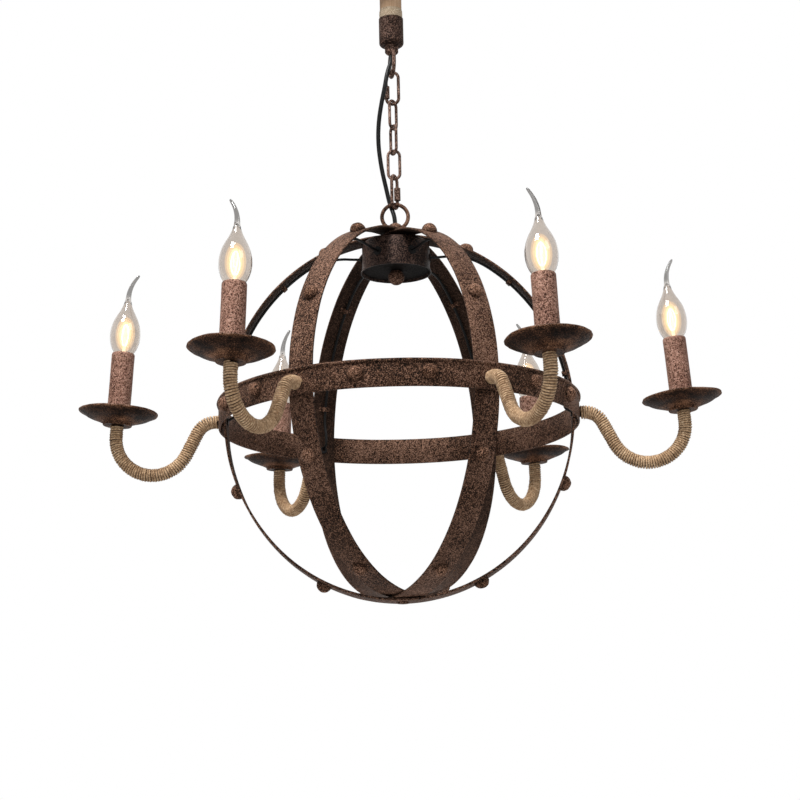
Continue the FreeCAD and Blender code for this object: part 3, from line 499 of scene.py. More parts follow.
belt_profile = [(BELT_INNER, -BELT_HALF + 0.0004), (BELT_INNER + 0.0004, -BELT_HALF),
                (BELT_RADIUS - 0.0005, -BELT_HALF), (BELT_RADIUS, -BELT_HALF + 0.0005),
                (BELT_RADIUS, 0), (BELT_RADIUS, BELT_HALF - BEAD_HIGH - 0.0002)]
for k in range(7):
    a = math.pi * k / 6
    belt_profile.append((BELT_RADIUS + BEAD_DEEP * math.sin(a),
                         BELT_HALF - BEAD_HIGH / 2 - BEAD_HIGH / 2 * math.cos(a)))
belt_profile += [(BELT_INNER + 0.0004, BELT_HALF), (BELT_INNER, BELT_HALF - 0.0004),
                 (BELT_INNER, 0)]
belt_wave, belt_lift = waves(5, 0.0006), waves(8, 0.0005)
belt_dent = waves(9, 0.00025, (17, 29, 41))
verts, faces = lathe(belt_profile, 288, lambda a, r, z: (
    belt_wave(a) + belt_dent(a) * (z > 0.010), belt_lift(a)), True)
belt = mesh_object("belt_band", [v + Vector((0, 0, ORB_Z)) for v in verts], faces, unshaded_iron,
                   sharp=50)
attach(belt, "orb")
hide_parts("belt_ring")


# Rivets: big domed heads, each beaten a little differently, that hold the hoops and the belt.
# Their iron is a warmer copper brown, darkened round each dome's foot as a painted contact shadow.
RIVET_RADIUS = 0.0083
RIVET_HEIGHT = 0.0082
RIB_RIVETS = [24.0, 62.5, 112.7, 153.8]
BELT_RIVETS = [11.0, 47.0, 67.0, 113.0, 133.0, 169.0]
# Warmer rivet iron, with a painted contact shadow round the foot of each dome.
rivet_iron_seat_shadow = rusty_iron("rivet iron with painted seat shadow", [(0.007, 0.004, 0.003), (0.052, 0.023, 0.013),
                                       (0.160, 0.078, 0.047), (0.370, 0.210, 0.140)],
                        flecks=0.45, painted_shade_side="seat")


def on_rib(down, angle, shift, out=0.0):
    """A place on a rib's outer face and its outward direction."""
    a, b = HOOP_HALF_WIDTH, HOOP_HALF_HEIGHT
    s, c = math.sin(math.radians(down)), math.cos(math.radians(down))
    away = Vector((s / a, 0, c / b)).normalized()
    spot = Vector((a * s, 0, b * c)) + away * out
    spin_ = Matrix.Rotation(math.radians(angle), 3, "Z")
    return spin_ @ spot + Vector((0, 0, ORB_Z + HOOP_RISE + shift)), spin_ @ away


rib_shift = {}
for name, angle, step in HOOPS:
    rib_shift[angle] = rib_shift[angle + 180] = step
spots, ways = [], []
for angle, step in rib_shift.items():
    for down in RIB_RIVETS:
        spot, away = on_rib(down, angle, step)
        spots.append(spot)
        ways.append(away)
belt_spots, belt_ways = [], []
for from_front in BELT_RIVETS:
    for side in (-1, 1):
        a = math.radians(-90 + side * from_front)
        away = Vector((math.cos(a), math.sin(a), 0))
        belt_spots.append(away * BELT_RADIUS + Vector((0, 0, ORB_Z)))
        belt_ways.append(away)

rivet_tree = Tree("domed rivets", radius=RIVET_RADIUS, height=RIVET_HEIGHT, beaten=0.0009,
                  seed=11, finish=rivet_iron_seat_shadow)
t = rivet_tree
ball = t.put("MeshUVSphere", {"Segments": 28, "Rings": 18, "Radius": 1.0})
spot_z = t.add("ShaderNodeSeparateXYZ", {0: t.put("InputPosition")}).outputs[2]
low = t.put("FunctionNodeCompare", {0: spot_z, 1: -0.12}, data_type="FLOAT", operation="LESS_THAN")
ball = t.put("DeleteGeometry", {0: ball, 1: low}, domain="POINT")
dome_size = t.put("ShaderNodeCombineXYZ", {0: t.get("radius"), 1: t.get("radius"),
                                           2: t.get("height")})
dome = t.put("Transform", {0: ball, "Scale": dome_size})
out_way = t.put("InputNamedAttribute", {"Name": "away"}, data_type="FLOAT_VECTOR")
stand = t.put("FunctionNodeAlignRotationToVector", {"Vector": out_way}, axis="Z")
heads = t.put("InstanceOnPoints", {"Points": t.get("Geometry"), "Instance": dome, "Rotation": stand})
heads = t.put("RealizeInstances", {0: heads})
heads = t.shake(heads, 190.0, t.get("beaten"))
t.finish(heads, t.get("finish"))
for node, places, aways in (("hoop_rivets", spots, ways), ("belt_rivets", belt_spots, belt_ways)):
    heads = rivet_tree.mesh(node + "_heads", point_holder(node, places, away=aways), sharp=0)
    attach(heads, "orb")
    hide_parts(node)


# Smaller iron fittings that keep their CAD shape: the drum, its cover, finial and loops, the
# chain, the ferrule and the canopy. Each gets a rusty finish; the drum's is darker and carries
# painted shade on its downward faces, and the cover and its nuts are painted nearly black as shade.
def refinished(node, body, material, sharp=38):
    """A merged, smoothly shaded copy of a CAD node, with a finish of its own."""
    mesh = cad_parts[node].data.copy()
    mesh.name = node + "_finished"
    shape = bmesh.new()
    shape.from_mesh(mesh)
    bmesh.ops.remove_doubles(shape, verts=shape.verts, dist=2e-6)
    shape.to_mesh(mesh)
    shape.free()
    mesh.materials.clear()
    mesh.materials.append(material)
    mesh.polygons.foreach_set("material_index", [0] * len(mesh.polygons))
    smoothed(mesh, sharp)
    thing = placed(node + "_finished", mesh)
    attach(thing, body)
    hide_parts(node)
    return thing


chain_iron = rusty_iron("chain iron", [(0.010, 0.006, 0.005), (0.058, 0.030, 0.022),
                                       (0.165, 0.095, 0.070), (0.370, 0.250, 0.200)])
# Darker drum iron, whose downward faces are darkened further as painted shade.
drum_iron_under_shade = rusty_iron("drum iron with painted under shade", [(0.003, 0.002, 0.002), (0.009, 0.005, 0.004),
                                     (0.026, 0.014, 0.011), (0.100, 0.062, 0.048)],
                       flecks=0.2, painted_shade_side="below", rough=0.5)
# Nearly black all over: painted shade for the cover's underside, also used on the nuts and the hidden
# arm tubes.
cover_iron_painted_shade = rusty_iron("cover iron, painted shade", [(0.003, 0.002, 0.002), (0.004, 0.003, 0.003),
                                       (0.006, 0.005, 0.004), (0.012, 0.009, 0.008)],
                        flecks=0.0, rough=0.8)
for node in ("hub_loop", "hub_finial", "belt_spacers", "pole_rivet", "wire_clips"):
    refinished(node, "orb", unshaded_iron)
refinished("hub_drum", "orb", drum_iron_under_shade)
refinished("hub_cover", "orb", cover_iron_painted_shade)
refinished("hub_nuts", "orb", cover_iron_painted_shade)
refinished("upper_loop", "ceiling_mount", chain_iron)
ferrule_iron = rusty_iron("ferrule iron", [(0.006, 0.004, 0.003), (0.024, 0.012, 0.009),
                                           (0.062, 0.034, 0.026), (0.180, 0.115, 0.090)])
refinished("ferrule", "ceiling_mount", ferrule_iron)
refinished("canopy", "ceiling_mount", ferrule_iron)
refinished("canopy_screws", "ceiling_mount", rivet_iron_seat_shadow)
for body, node in (("link_1", "quick_link_upper"), ("link_1_nut", "quick_link_upper_nut"),
                   ("link_2", "chain_link_2"), ("link_3", "chain_link_3"),
                   ("link_4", "chain_link_4"), ("link_5", "quick_link_lower"),
                   ("link_5_nut", "quick_link_lower_nut")):
    refinished(node, body, chain_iron, 50)


# Hidden fittings: a zinc-plated bracket, stem tube, nuts and nipple, the nylon terminal block,
# the dark lampholders and the rubber grommets.
def plated_steel(name):
    s = Shader(name)
    spangle = s.noise(140, 4)
    colour = s.ramp(spangle, [(0.3, (0.36, 0.36, 0.35)), (0.7, (0.60, 0.60, 0.58))])
    brushed = s.noise(700, 2)
    return s.surface(base_color=colour, metallic=0.9, roughness=s.span(spangle, 0.3, 0.7, 0.32, 0.5),
                     normal=s.bump(brushed, 0.00005))


def moulded(name, low, high, rough):
    s = Shader(name)
    mottle = s.noise(80, 3)
    return s.surface(base_color=s.mix(mottle, rgb(*low), rgb(*high)), roughness=rough,
                     normal=s.bump(s.noise(1500, 2), 0.00003))


zinc = plated_steel("zinc plate")
for node in ("ceiling_bracket", "stem_tube", "stem_nuts"):
    refinished(node, "ceiling_mount", zinc)
refinished("hub_nipple", "orb", zinc)
nylon = moulded("nylon", (0.66, 0.65, 0.60), (0.78, 0.77, 0.72), 0.5)
refinished("terminal_block", "ceiling_mount", nylon)
phenolic = moulded("phenolic", (0.012, 0.010, 0.009), (0.03, 0.026, 0.022), 0.45)
refinished("lampholders", "orb", phenolic)
refinished("arm_tubes", "orb", cover_iron_painted_shade)
refinished("wire_grommets", "orb", black_rubber("grommet rubber", 0.004, 0.5))


# Lamp wires: six thin black wires that come out of the drum, run down the ribs' inner faces
# under bent clips, and go through each rib and the belt into the arm.
WIRE_THICK = 0.0028
WIRE_INSET = HOOP_THICK + 0.0014
WIRE_STOPS = [28, 40, 52, 63, 73, 82]
DRUM_RADIUS = 0.0365
WIRE_OUTLET = ORB_Z + 0.1732
ROOT_Z = ORB_Z - 0.0025
wire_rubber = black_rubber("wire sheath", 0.004, 0.32)
wire_verts, wire_faces = [], []
for angle, step in rib_shift.items():
    route = [(DRUM_RADIUS - 0.008, 0, WIRE_OUTLET), (DRUM_RADIUS + 0.008, 0, WIRE_OUTLET),
             (DRUM_RADIUS + 0.024, 0, WIRE_OUTLET + 0.0015)]
    for down in WIRE_STOPS:
        s, c = math.sin(math.radians(down)), math.cos(math.radians(down))
        route.append(((HOOP_HALF_WIDTH - WIRE_INSET) * s, 0,
                      ORB_Z + HOOP_RISE + step + (HOOP_HALF_HEIGHT - WIRE_INSET) * c))
    inner = HOOP_HALF_WIDTH - HOOP_THICK - 0.0074
    route += [(inner, 0, ROOT_Z + 0.015), (inner, 0, ROOT_Z), (BELT_RADIUS + 0.01, 0, ROOT_Z)]
    spin = Matrix.Rotation(math.radians(angle), 3, "Z")
    verts, faces = tube_mesh([spin @ p for p in smooth_line(route, 8)], WIRE_THICK / 2, 10)
    join(wire_verts, wire_faces, verts, faces)
wires = mesh_object("lamp_wire_runs", wire_verts, wire_faces, wire_rubber)
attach(wires, "orb")
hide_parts("lamp_wires")


# Stem cover: a tight sleeve of fine hemp cloth whose seam faces the front, over the stem tube,
# with a fuzzy turned end where it goes into the ferrule.
STEM_RADIUS = 0.0120
STEM_END_RADIUS = 0.0128
STEM_BORE = 0.0062
ferrule_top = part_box("ferrule")[1].z
STEM_BAND = ferrule_top + 0.0108


def hemp_cloth(name):
    s = Shader(name)
    split = s.add("SeparateXYZ", {0: s.place})
    around = s.sums("ARCTAN2", split.outputs[1], split.outputs[0])
    warp = s.sums("SINE", s.times(around, 52.0))
    weft = s.sums("SINE", s.times(split.outputs[2], 4200.0))
    weave = s.times(warp, weft)
    fibre = s.noise(1100, 5, 0.7)
    streak = s.put("CombineXYZ", {0: s.times(around, 14.0), 1: s.times(split.outputs[2], 6.0)})
    streak = s.noise(1.2, 3, 0.6, streak)
    colour = s.ramp(s.weighed((streak, 0.6), (fibre, 0.4)),
                    [(0.34, (0.450, 0.282, 0.168)), (0.5, (0.560, 0.368, 0.230)),
                     (0.66, (0.660, 0.468, 0.310))])
    fuzz = s.ramp(s.noise(900, 4, 0.7),
                  [(0.36, (0.200, 0.130, 0.080)), (0.48, (0.480, 0.360, 0.240)),
                   (0.62, (0.760, 0.640, 0.480))])
    colour = s.mix(s.span(split.outputs[2], STEM_BAND - 0.0006, STEM_BAND + 0.0006), fuzz, colour)
    height = s.sums("ADD", s.times(weave, 0.35), fibre)
    return s.surface(base_color=colour, roughness=0.92, specular_ior_level=0.2, sheen_weight=0.1,
                     sheen_roughness=0.5, normal=s.bump(height, 0.0004, 0.8))


hemp = hemp_cloth("hemp cloth")
low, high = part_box("stem_sheath")
sheath_profile = [(STEM_BORE, low.z), (0.0118, low.z), (0.0120, ferrule_top - 0.001),
                  (STEM_END_RADIUS - 0.0006, ferrule_top + 0.0003)]
for k in range(1, 12):
    at = k / 12
    sheath_profile.append((STEM_END_RADIUS - 0.0002 * (2 * at - 1) ** 2 - 0.0003 * (k % 2),
                           ferrule_top + 0.0100 * at))
sheath_profile += [(STEM_END_RADIUS - 0.0006, ferrule_top + 0.0103),
                   (STEM_RADIUS, ferrule_top + 0.0112)]
sheath_profile += [(STEM_RADIUS, z) for z in np.linspace(ferrule_top + 0.014, high.z, 10)]
sheath_profile += [(STEM_BORE, high.z)]
sheath_wave = waves(21, 0.00018, (5, 11, 23, 31))
verts, faces = lathe(sheath_profile, 96, lambda a, r, z: (sheath_wave(a + 9 * z), 0), True)
sheath = mesh_object("stem_cover", verts, faces, hemp, sharp=60)
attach(sheath, "ceiling_mount")
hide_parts("stem_sheath")


# Arm winding: natural jute twine laid turn on turn over each arm tube, from the belt to the
# drip pan, with loose fibres standing out of it and a frayed end at the belt.
ARM_COUNT = 6
ARM_STEP = math.radians(60)
ARM_LEAN = math.radians(4.5)
ARM_SLOPE = math.radians(63)
BOW_RADIUS = 0.040
BOW_DROP = 0.0585
ROOT_BEND = 0.020
PAN_FOOT_R = 0.301177
PAN_FOOT_Z = -0.531654
TWINE_THICK = 0.0023
TWINE_PITCH = 0.0025
WINDING_RADIUS = 0.0072


def arm_line(start_r, spacing):
    """Evenly spaced (radius, height) points along an arm, from the belt to the pan's foot."""
    bow_z = ORB_Z - BOW_DROP + BOW_RADIUS
    riser = (PAN_FOOT_Z - bow_z - BOW_RADIUS * math.sin(ARM_LEAN)) / math.cos(ARM_LEAN)
    bow_r = PAN_FOOT_R + riser * math.sin(ARM_LEAN) - BOW_RADIUS * math.cos(ARM_LEAN)
    first = math.radians(270) - ARM_SLOPE
    fr, fz = bow_r + BOW_RADIUS * math.cos(first), bow_z + BOW_RADIUS * math.sin(first)
    corner = fr - (ROOT_Z - fz) / math.tan(ARM_SLOPE)
    cut = ROOT_BEND * math.tan(ARM_SLOPE / 2)
    line = [(start_r, ROOT_Z), (corner - cut, ROOT_Z)]
    for k in range(1, 25):
        a = math.pi / 2 - ARM_SLOPE * k / 24
        line.append((corner - cut + ROOT_BEND * math.cos(a),
                     ROOT_Z - ROOT_BEND + ROOT_BEND * math.sin(a)))
    last = math.radians(360) + ARM_LEAN
    for k in range(97):
        a = first + (last - first) * k / 96
        line.append((bow_r + BOW_RADIUS * math.cos(a), bow_z + BOW_RADIUS * math.sin(a)))
    line.append((PAN_FOOT_R, PAN_FOOT_Z))
    steps = [0.0]
    for (r0, z0), (r1, z1) in zip(line, line[1:]):
        steps.append(steps[-1] + math.hypot(r1 - r0, z1 - z0))
    at = np.linspace(0, steps[-1], max(2, round(steps[-1] / spacing)))
    radii = np.interp(at, steps, [r for r, z in line])
    heights = np.interp(at, steps, [z for r, z in line])
    return list(zip(radii, heights)), steps[-1]


def jute_twine(name):
    s = Shader(name)
    fibre = s.noise(1500, 5, 0.7)
    turns = s.noise(420, 3, 0.6)
    patch = s.noise(45, 2, 0.5)
    tone = s.weighed((fibre, 0.28), (patch, 0.22), (turns, 0.5))
    colour = s.ramp(tone, [(0.38, (0.190, 0.105, 0.052)), (0.47, (0.400, 0.248, 0.135)),
                           (0.55, (0.610, 0.412, 0.245)), (0.64, (0.820, 0.610, 0.400))])
    # Points that lie deep, near the arm's core between the turns, are darkened: painted shade in the
    # grooves.
    groove_shade = s.span(s.value("standing_out"), 0.58, 0.96)
    colour = s.mix(groove_shade, rgb(0.170, 0.100, 0.052), colour)
    height = s.weighed((turns, 0.6), (fibre, 0.6))
    return s.surface(base_color=colour, roughness=0.95, specular_ior_level=0.2, sheen_weight=0.1,
                     sheen_roughness=0.6, normal=s.bump(height, 0.0005, 0.9))


jute = jute_twine("jute twine")
twine_tree = Tree("wound twine", radius=WINDING_RADIUS, twine=TWINE_THICK, turns=100.0,
                  uneven=0.00055, seed=1, side=Vector((0, 1, 0)), finish=jute)
t = twine_tree
share = t.put("SplineParameter")
angle_at = t.times(t.times(share, t.get("turns")), 2 * math.pi)
along = t.put("InputTangent")
sideways = t.get("side")
upward = t.vector("CROSS_PRODUCT", along, sideways)
slack = t.sums("SUBTRACT", t.noise(310.0, "Fac"), 0.5)
slack = t.times(slack, t.times(t.get("uneven"), 2.0))
reach = t.sums("SUBTRACT", t.get("radius"), t.times(t.get("twine"), 0.55))
reach = t.sums("ADD", reach, slack)
offset = t.vector("SCALE", sideways, scale=t.times(t.sums("COSINE", angle_at), reach))
upward = t.vector("SCALE", upward, scale=t.times(t.sums("SINE", angle_at), reach))
offset = t.vector("ADD", offset, upward)
offset = t.vector("ADD", offset, t.vector("SCALE", along, scale=t.times(slack, 1.1)))
coil = t.put("SetPosition", {0: t.get("Geometry"), "Offset": offset})
strand_radius = t.times(t.get("twine"), 0.56)
strand = t.put("CurvePrimitiveCircle", {"Resolution": 7, "Radius": strand_radius})
wound = t.put("CurveToMesh", {"Curve": coil, "Profile Curve": strand, "Fill Caps": True})
hair_line = t.put("CurveQuadraticBezier", {
    "Resolution": 3, "Start": (0, 0, 0), "Middle": (0.0004, 0, 0.0009),
    "End": (0.0014, 0, 0.0013)})
hair_round = t.put("CurvePrimitiveCircle", {"Resolution": 3, "Radius": 0.00006})
hair = t.put("CurveToMesh", {"Curve": hair_line, "Profile Curve": hair_round})
roots = t.add("DistributePointsOnFaces", {"Mesh": wound, "Density": 24000.0, "Seed": t.get("seed")})
dice = t.put("FunctionNodeRandomValue", {"Max": (0.9, 0.9, 6.28), "Seed": t.get("seed")},
             data_type="FLOAT_VECTOR")
hairs = t.put("InstanceOnPoints", {"Points": roots.outputs[0], "Instance": hair,
                                   "Rotation": roots.outputs[2]})
hairs = t.put("RotateInstances", {0: hairs, "Rotation": dice})
both = t.add("JoinGeometry", {0: wound})
t.group.links.new(hairs, both.inputs[0])
t.finish(both.outputs[0], t.get("finish"))

for number in range(1, ARM_COUNT + 1):
    spin = Matrix.Rotation(ARM_STEP * (number - 1), 3, "Z")
    places, long = arm_line(BELT_RADIUS + 0.0006, TWINE_PITCH / 14)
    places = [spin @ Vector((r, 0, z)) for r, z in places]
    curve = bpy.data.curves.new("arm route", "CURVE")
    curve.dimensions = "3D"
    spline = curve.splines.new("POLY")
    spline.points.add(len(places) - 1)
    spline.points.foreach_set("co", [c for p in places for c in (*p, 1)])
    holder = placed("arm route", curve)
    winding = twine_tree.mesh("arm_winding_%d" % number, holder, sharp=0,
                              turns=long / TWINE_PITCH, seed=number, side=spin @ Vector((0, 1, 0)))
    core = KDTree(len(places))
    for i, p in enumerate(places):
        core.insert(p, i)
    core.balance()
    # How far each point stands out from the arm's core; the twine's colour uses it for painted shade
    # in the grooves.
    out = [(core.find(v.co)[2] - WINDING_RADIUS) / TWINE_THICK + 1 for v in winding.data.vertices]
    point_values(winding, "standing_out", out)
    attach(winding, "orb")
    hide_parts("arm_twine_%d" % number)


# Drip pans: spun iron dishes with a stepped hub, a soft shoulder below and a rolled rim. Their
# downward faces are painted nearly black as shade, lighter and redder in a band round the
# shoulder, and along the rim copper speckle with a painted highlight.
PAN_RADIUS = 0.0423
PAN_DEPTH = 0.0150
PAN_SHEET = 0.0013
PAN_HUB = 0.0155
PAN_BORE = 0.0052
PAN_SHOULDER = 0.019
PAN_STEP = 0.0025
PAN_BEAD = 0.0012


def pan_finish(name):
    s = Shader(name)
    fine = s.noise(900, 5, 0.62)
    wide = s.noise(70, 3, 0.6)
    facing = s.add("SeparateXYZ", {0: s.add("TexCoord").outputs["Normal"]}).outputs[2]
    shoulder_band_and_rim_highlight = s.value("shoulder")
    tone = s.weighed((fine, 0.7), (wide, 0.3))
    above = s.ramp(tone, [(0.40, (0.008, 0.005, 0.004)), (0.47, (0.055, 0.028, 0.018)),
                          (0.54, (0.17, 0.095, 0.065)), (0.62, (0.34, 0.22, 0.165))])
    # Near-black tones for faces turned down: painted shade.
    below = s.ramp(tone, [(0.42, (0.003, 0.002, 0.0015)), (0.52, (0.022, 0.010, 0.006)),
                          (0.62, (0.130, 0.062, 0.036))])
    # Lighter, redder tones for the band round the shoulder, and for the copper speckle with a painted
    # highlight along the rim.
    rubbed = s.ramp(tone, [(0.42, (0.008, 0.004, 0.003)), (0.49, (0.075, 0.032, 0.016)),
                           (0.57, (0.300, 0.150, 0.085))])
    under = s.mix(shoulder_band_and_rim_highlight, below, rubbed)
    colour = s.mix(s.span(facing, 0.1, -0.35), above, under)
    return s.surface(base_color=colour, metallic=0.2, roughness=s.span(fine, 0.35, 0.65, 0.68, 0.46),
                     specular_ior_level=0.05, normal=s.bump(tone, 0.0007, 0.8))


def soft_profile(points, steps):
    """Closely spaced points on a smooth line through (radius, height) points."""
    r = [p[0] for p in points]
    z = [p[1] for p in points]
    at = [0.0]
    for a, b in zip(points, points[1:]):
        at.append(at[-1] + math.hypot(b[0] - a[0], b[1] - a[1]))
    out = []
    for i in range(steps):
        x = at[-1] * i / (steps - 1)
        k = min(max(np.searchsorted(at, x) - 1, 0), len(at) - 2)
        u = (x - at[k]) / (at[k + 1] - at[k])
        k0, k3 = max(k - 1, 0), min(k + 2, len(at) - 1)
        row = []
        for v in (r, z):
            a, b, c, d = v[k0], v[k], v[k + 1], v[k3]
            bow, rest = 2 * a - 5 * b + 4 * c - d, 3 * b - a - 3 * c + d
            row.append(0.5 * (2 * b + (c - a) * u + bow * u * u + rest * u ** 3))
        out.append(tuple(row))
    return out


def on_arm(verts, number):
    """Moves a piece drawn on a pan's foot onto its arm, leaning with it."""
    lean = Matrix.Rotation(-ARM_LEAN, 3, "Y")
    spin_ = Matrix.Rotation(ARM_STEP * (number - 1), 3, "Z")
    return [spin_ @ (lean @ v + Vector((PAN_FOOT_R, 0, PAN_FOOT_Z))) for v in verts]


pan_iron_under_shade = pan_finish("pan iron with painted under shade")
rim_r = PAN_RADIUS - PAN_BEAD
span_r = rim_r - PAN_HUB
drop = PAN_DEPTH - PAN_STEP
under = [(PAN_HUB + 0.0004, PAN_STEP)]
for share_r, share_z in ((0.20, 0.15), (0.42, 0.31), (0.68, 0.50), (0.88, 0.75)):
    under.append((PAN_HUB + share_r * span_r, PAN_STEP + share_z * drop))
under.append((rim_r, PAN_DEPTH - 0.0009))
under = soft_profile(under, 22)
rim = []
for k in range(11):
    a = math.radians(-70 + 250 * k / 10)
    rim.append((rim_r + PAN_BEAD * math.cos(a), PAN_DEPTH - 0.0006 + PAN_BEAD * math.sin(a)))
over = [(r, z + PAN_SHEET) for r, z in under[:-1]]
pan_profile = [(PAN_BORE, 0), (PAN_HUB - 0.0005, 0), (PAN_HUB, 0.0006), (PAN_HUB + 0.0002, 0.0018)]
pan_profile += under[:-1] + rim + over[::-1][:-1]
pan_profile += [(PAN_HUB - 0.0009, PAN_STEP + 0.0006), (PAN_HUB - PAN_SHEET, PAN_SHEET + 0.0002),
                (PAN_BORE, PAN_SHEET)]
for number in range(1, ARM_COUNT + 1):
    edge, tilt = waves(30 + number, 0.0006, (2, 3, 7)), waves(40 + number, 0.0009, (2, 3, 5))
    beaten = waves(50 + number, 0.00035, (11, 17, 23))
    verts, faces = lathe(pan_profile, 128, lambda a, r, z: (
        (edge(a) + beaten(a)) * (r / PAN_RADIUS) ** 3, tilt(a) * (r / PAN_RADIUS) ** 3), True)
    pan = mesh_object("drip_pan_%d_dish" % number, on_arm(verts, number), faces, pan_iron_under_shade, sharp=48)
    # Where the lighter tones show underneath: a band round the shoulder, and a painted highlight
    # along the rim.
    point_values(pan, "shoulder", [
        max(0.0, 1 - abs(v.xy.length - PAN_SHOULDER) / 0.009,
            1 - abs(v.xy.length - PAN_RADIUS) / 0.004) for v in verts])
    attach(pan, "orb")
    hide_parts("drip_pan_%d" % number)


# Candle sleeves: rolled steel tubes over the lampholders, sponged a paler pinkish rust with
# dark specks, and rounded at the mouth.
SLEEVE_RADIUS = 0.0123
SLEEVE_BORE = 0.0112
SLEEVE_FOOT = PAN_SHEET + 0.0001
SLEEVE_MOUTH = SLEEVE_FOOT + 0.0782


def sleeve_finish(name):
    s = Shader(name)
    fine = s.noise(1000, 5, 0.65)
    blot = s.noise(420, 3, 0.55)
    wide = s.noise(30, 2)
    tone = s.weighed((fine, 0.70), (blot, 0.30), (s.sums("SUBTRACT", wide, 0.5), 0.12))
    colour = s.ramp(tone, [(0.42, (0.012, 0.005, 0.004)), (0.465, (0.110, 0.047, 0.031)),
                           (0.51, (0.290, 0.148, 0.104)), (0.60, (0.480, 0.300, 0.230))])
    return s.surface(base_color=colour, metallic=0.15, roughness=s.span(fine, 0.35, 0.65, 0.72, 0.5),
                     specular_ior_level=0.12, normal=s.bump(tone, 0.0007, 0.7))


sleeve_paint = sleeve_finish("sleeve paint")
straight = SLEEVE_MOUTH - SLEEVE_FOOT - 0.0018
sleeve_profile = [(SLEEVE_BORE, SLEEVE_FOOT), (SLEEVE_RADIUS, SLEEVE_FOOT)]
sleeve_profile += [(SLEEVE_RADIUS, SLEEVE_FOOT + straight * k / 14) for k in range(1, 15)]
sleeve_profile += [(SLEEVE_RADIUS - 0.0002, SLEEVE_MOUTH - 0.0008),
                   (SLEEVE_RADIUS - 0.0006, SLEEVE_MOUTH - 0.0001),
                   (SLEEVE_BORE + 0.0002, SLEEVE_MOUTH), (SLEEVE_BORE, SLEEVE_MOUTH - 0.0004),
                   (SLEEVE_BORE, SLEEVE_MOUTH - 0.03)]
for number in range(1, ARM_COUNT + 1):
    dent = waves(60 + number, 0.0002, (2, 3, 5))
    verts, faces = lathe(sleeve_profile, 80, lambda a, r, z: (dent(a + 20 * z), 0), True)
    sleeve = mesh_object("candle_sleeve_%d_tube" % number, on_arm(verts, number), faces, sleeve_paint)
    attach(sleeve, "orb")
    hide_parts("candle_sleeve_%d" % number)


# Bulbs: clear glass candle lamps, lit, with a drawn-out tip bent over to one side. Inside are a
# glass mount with lead wires and a glowing filament, and below a rolled brass screw cap. The
# mount and the shells round the filament give off painted glow.
BULB_RADIUS = 0.0164
BULB_HEIGHT = 0.0895
GLASS_WALL = 0.0008
GLASS_SIDES = 56
CAP_RADIUS = 0.0069
BULB_TIPS = [20.0, 200.0, 330.0, 0.0, 150.0, 200.0]
GLASS_RISE = [(-15, 0.34), (-12, 0.345), (-5, 0.49), (1, 0.66), (6, 0.83), (13, 0.96),
              (20.5, 1.0), (27.5, 0.96), (34, 0.86), (40, 0.70), (46, 0.50), (51.5, 0.34),
              (57, 0.235), (62, 0.18)]
# Nested shells of painted glow round each filament: their width, height and share of light.
GLOWS = [(0.0104, 0.0190, 0.12), (0.0084, 0.0165, 0.20), (0.0062, 0.0140, 0.34),
         (0.0042, 0.0115, 0.55)]


def bulb_glass(name):
    s = Shader(name)
    haze = s.noise(40, 2)
    drawn = s.value("drawn")
    colour = s.mix(haze, rgb(0.64, 0.59, 0.545), rgb(0.80, 0.75, 0.705))
    colour = s.mix(drawn, colour, rgb(0.27, 0.26, 0.25))
    return s.surface(base_color=colour, roughness=0.02, ior=1.45, transmission_weight=1.0)


def soft_light(name):
    """Painted glow round a filament: a faint veil of light from nested shells, stronger where "share"
    is.
    """
    s = Shader(name)
    share = s.value("share")
    flicker = s.noise(90, 2)
    colour = s.mix(flicker, rgb(1.0, 0.62, 0.26), rgb(1.0, 0.72, 0.38))
    colour = s.mix(s.span(share, 0.15, 0.6), colour, rgb(1.0, 0.93, 0.74))
    light = s.put("Emission", {"Color": colour, "Strength": 2.4})
    clear = s.put("BsdfTransparent")
    return s.mixed(share, clear, light)


def glowing(name, colour, strength):
    s = Shader(name)
    flicker = s.noise(300, 2)
    return s.surface(base_color=s.mix(flicker, rgb(*colour), rgb(1, 0.9, 0.7)), roughness=0.4,
                     emission_color=rgb(*colour), emission_strength=strength)


def rolled_brass(name):
    s = Shader(name)
    tarnish = s.noise(160, 4)
    colour = s.ramp(tarnish, [(0.3, (0.30, 0.19, 0.07)), (0.7, (0.62, 0.44, 0.18))])
    return s.surface(base_color=colour, metallic=1.0, roughness=s.span(tarnish, 0.3, 0.7, 0.42, 0.24))


glass = bulb_glass("bulb glass")
painted_glow = soft_light("soft light")
brass = rolled_brass("brass cap")
# The glass mount gives off light of its own: painted glow.
mount_painted_glow = glowing("glass mount with painted glow", (1.0, 0.86, 0.62), 1.6)
filament_light = glowing("filament", (1.0, 0.78, 0.45), 9.0)
glass_line = soft_profile([(share_ * BULB_RADIUS, SLEEVE_MOUTH + up / 1000)
                           for up, share_ in GLASS_RISE], 46)
hollow = [(r * (BULB_RADIUS - GLASS_WALL) / BULB_RADIUS, z)
          for r, z in glass_line if z < SLEEVE_MOUTH + 0.055]
hollow[0] = (hollow[0][0], hollow[0][1] + GLASS_WALL)
narrow, peak = hollow[-1]
taper = [(narrow * (1 - k / 6) ** 0.8, peak + 0.0011 * k) for k in range(1, 6)]
taper.append((0, peak + 0.0064))
within, within_faces = lathe([(0, hollow[0][1])] + hollow + taper, GLASS_SIDES)

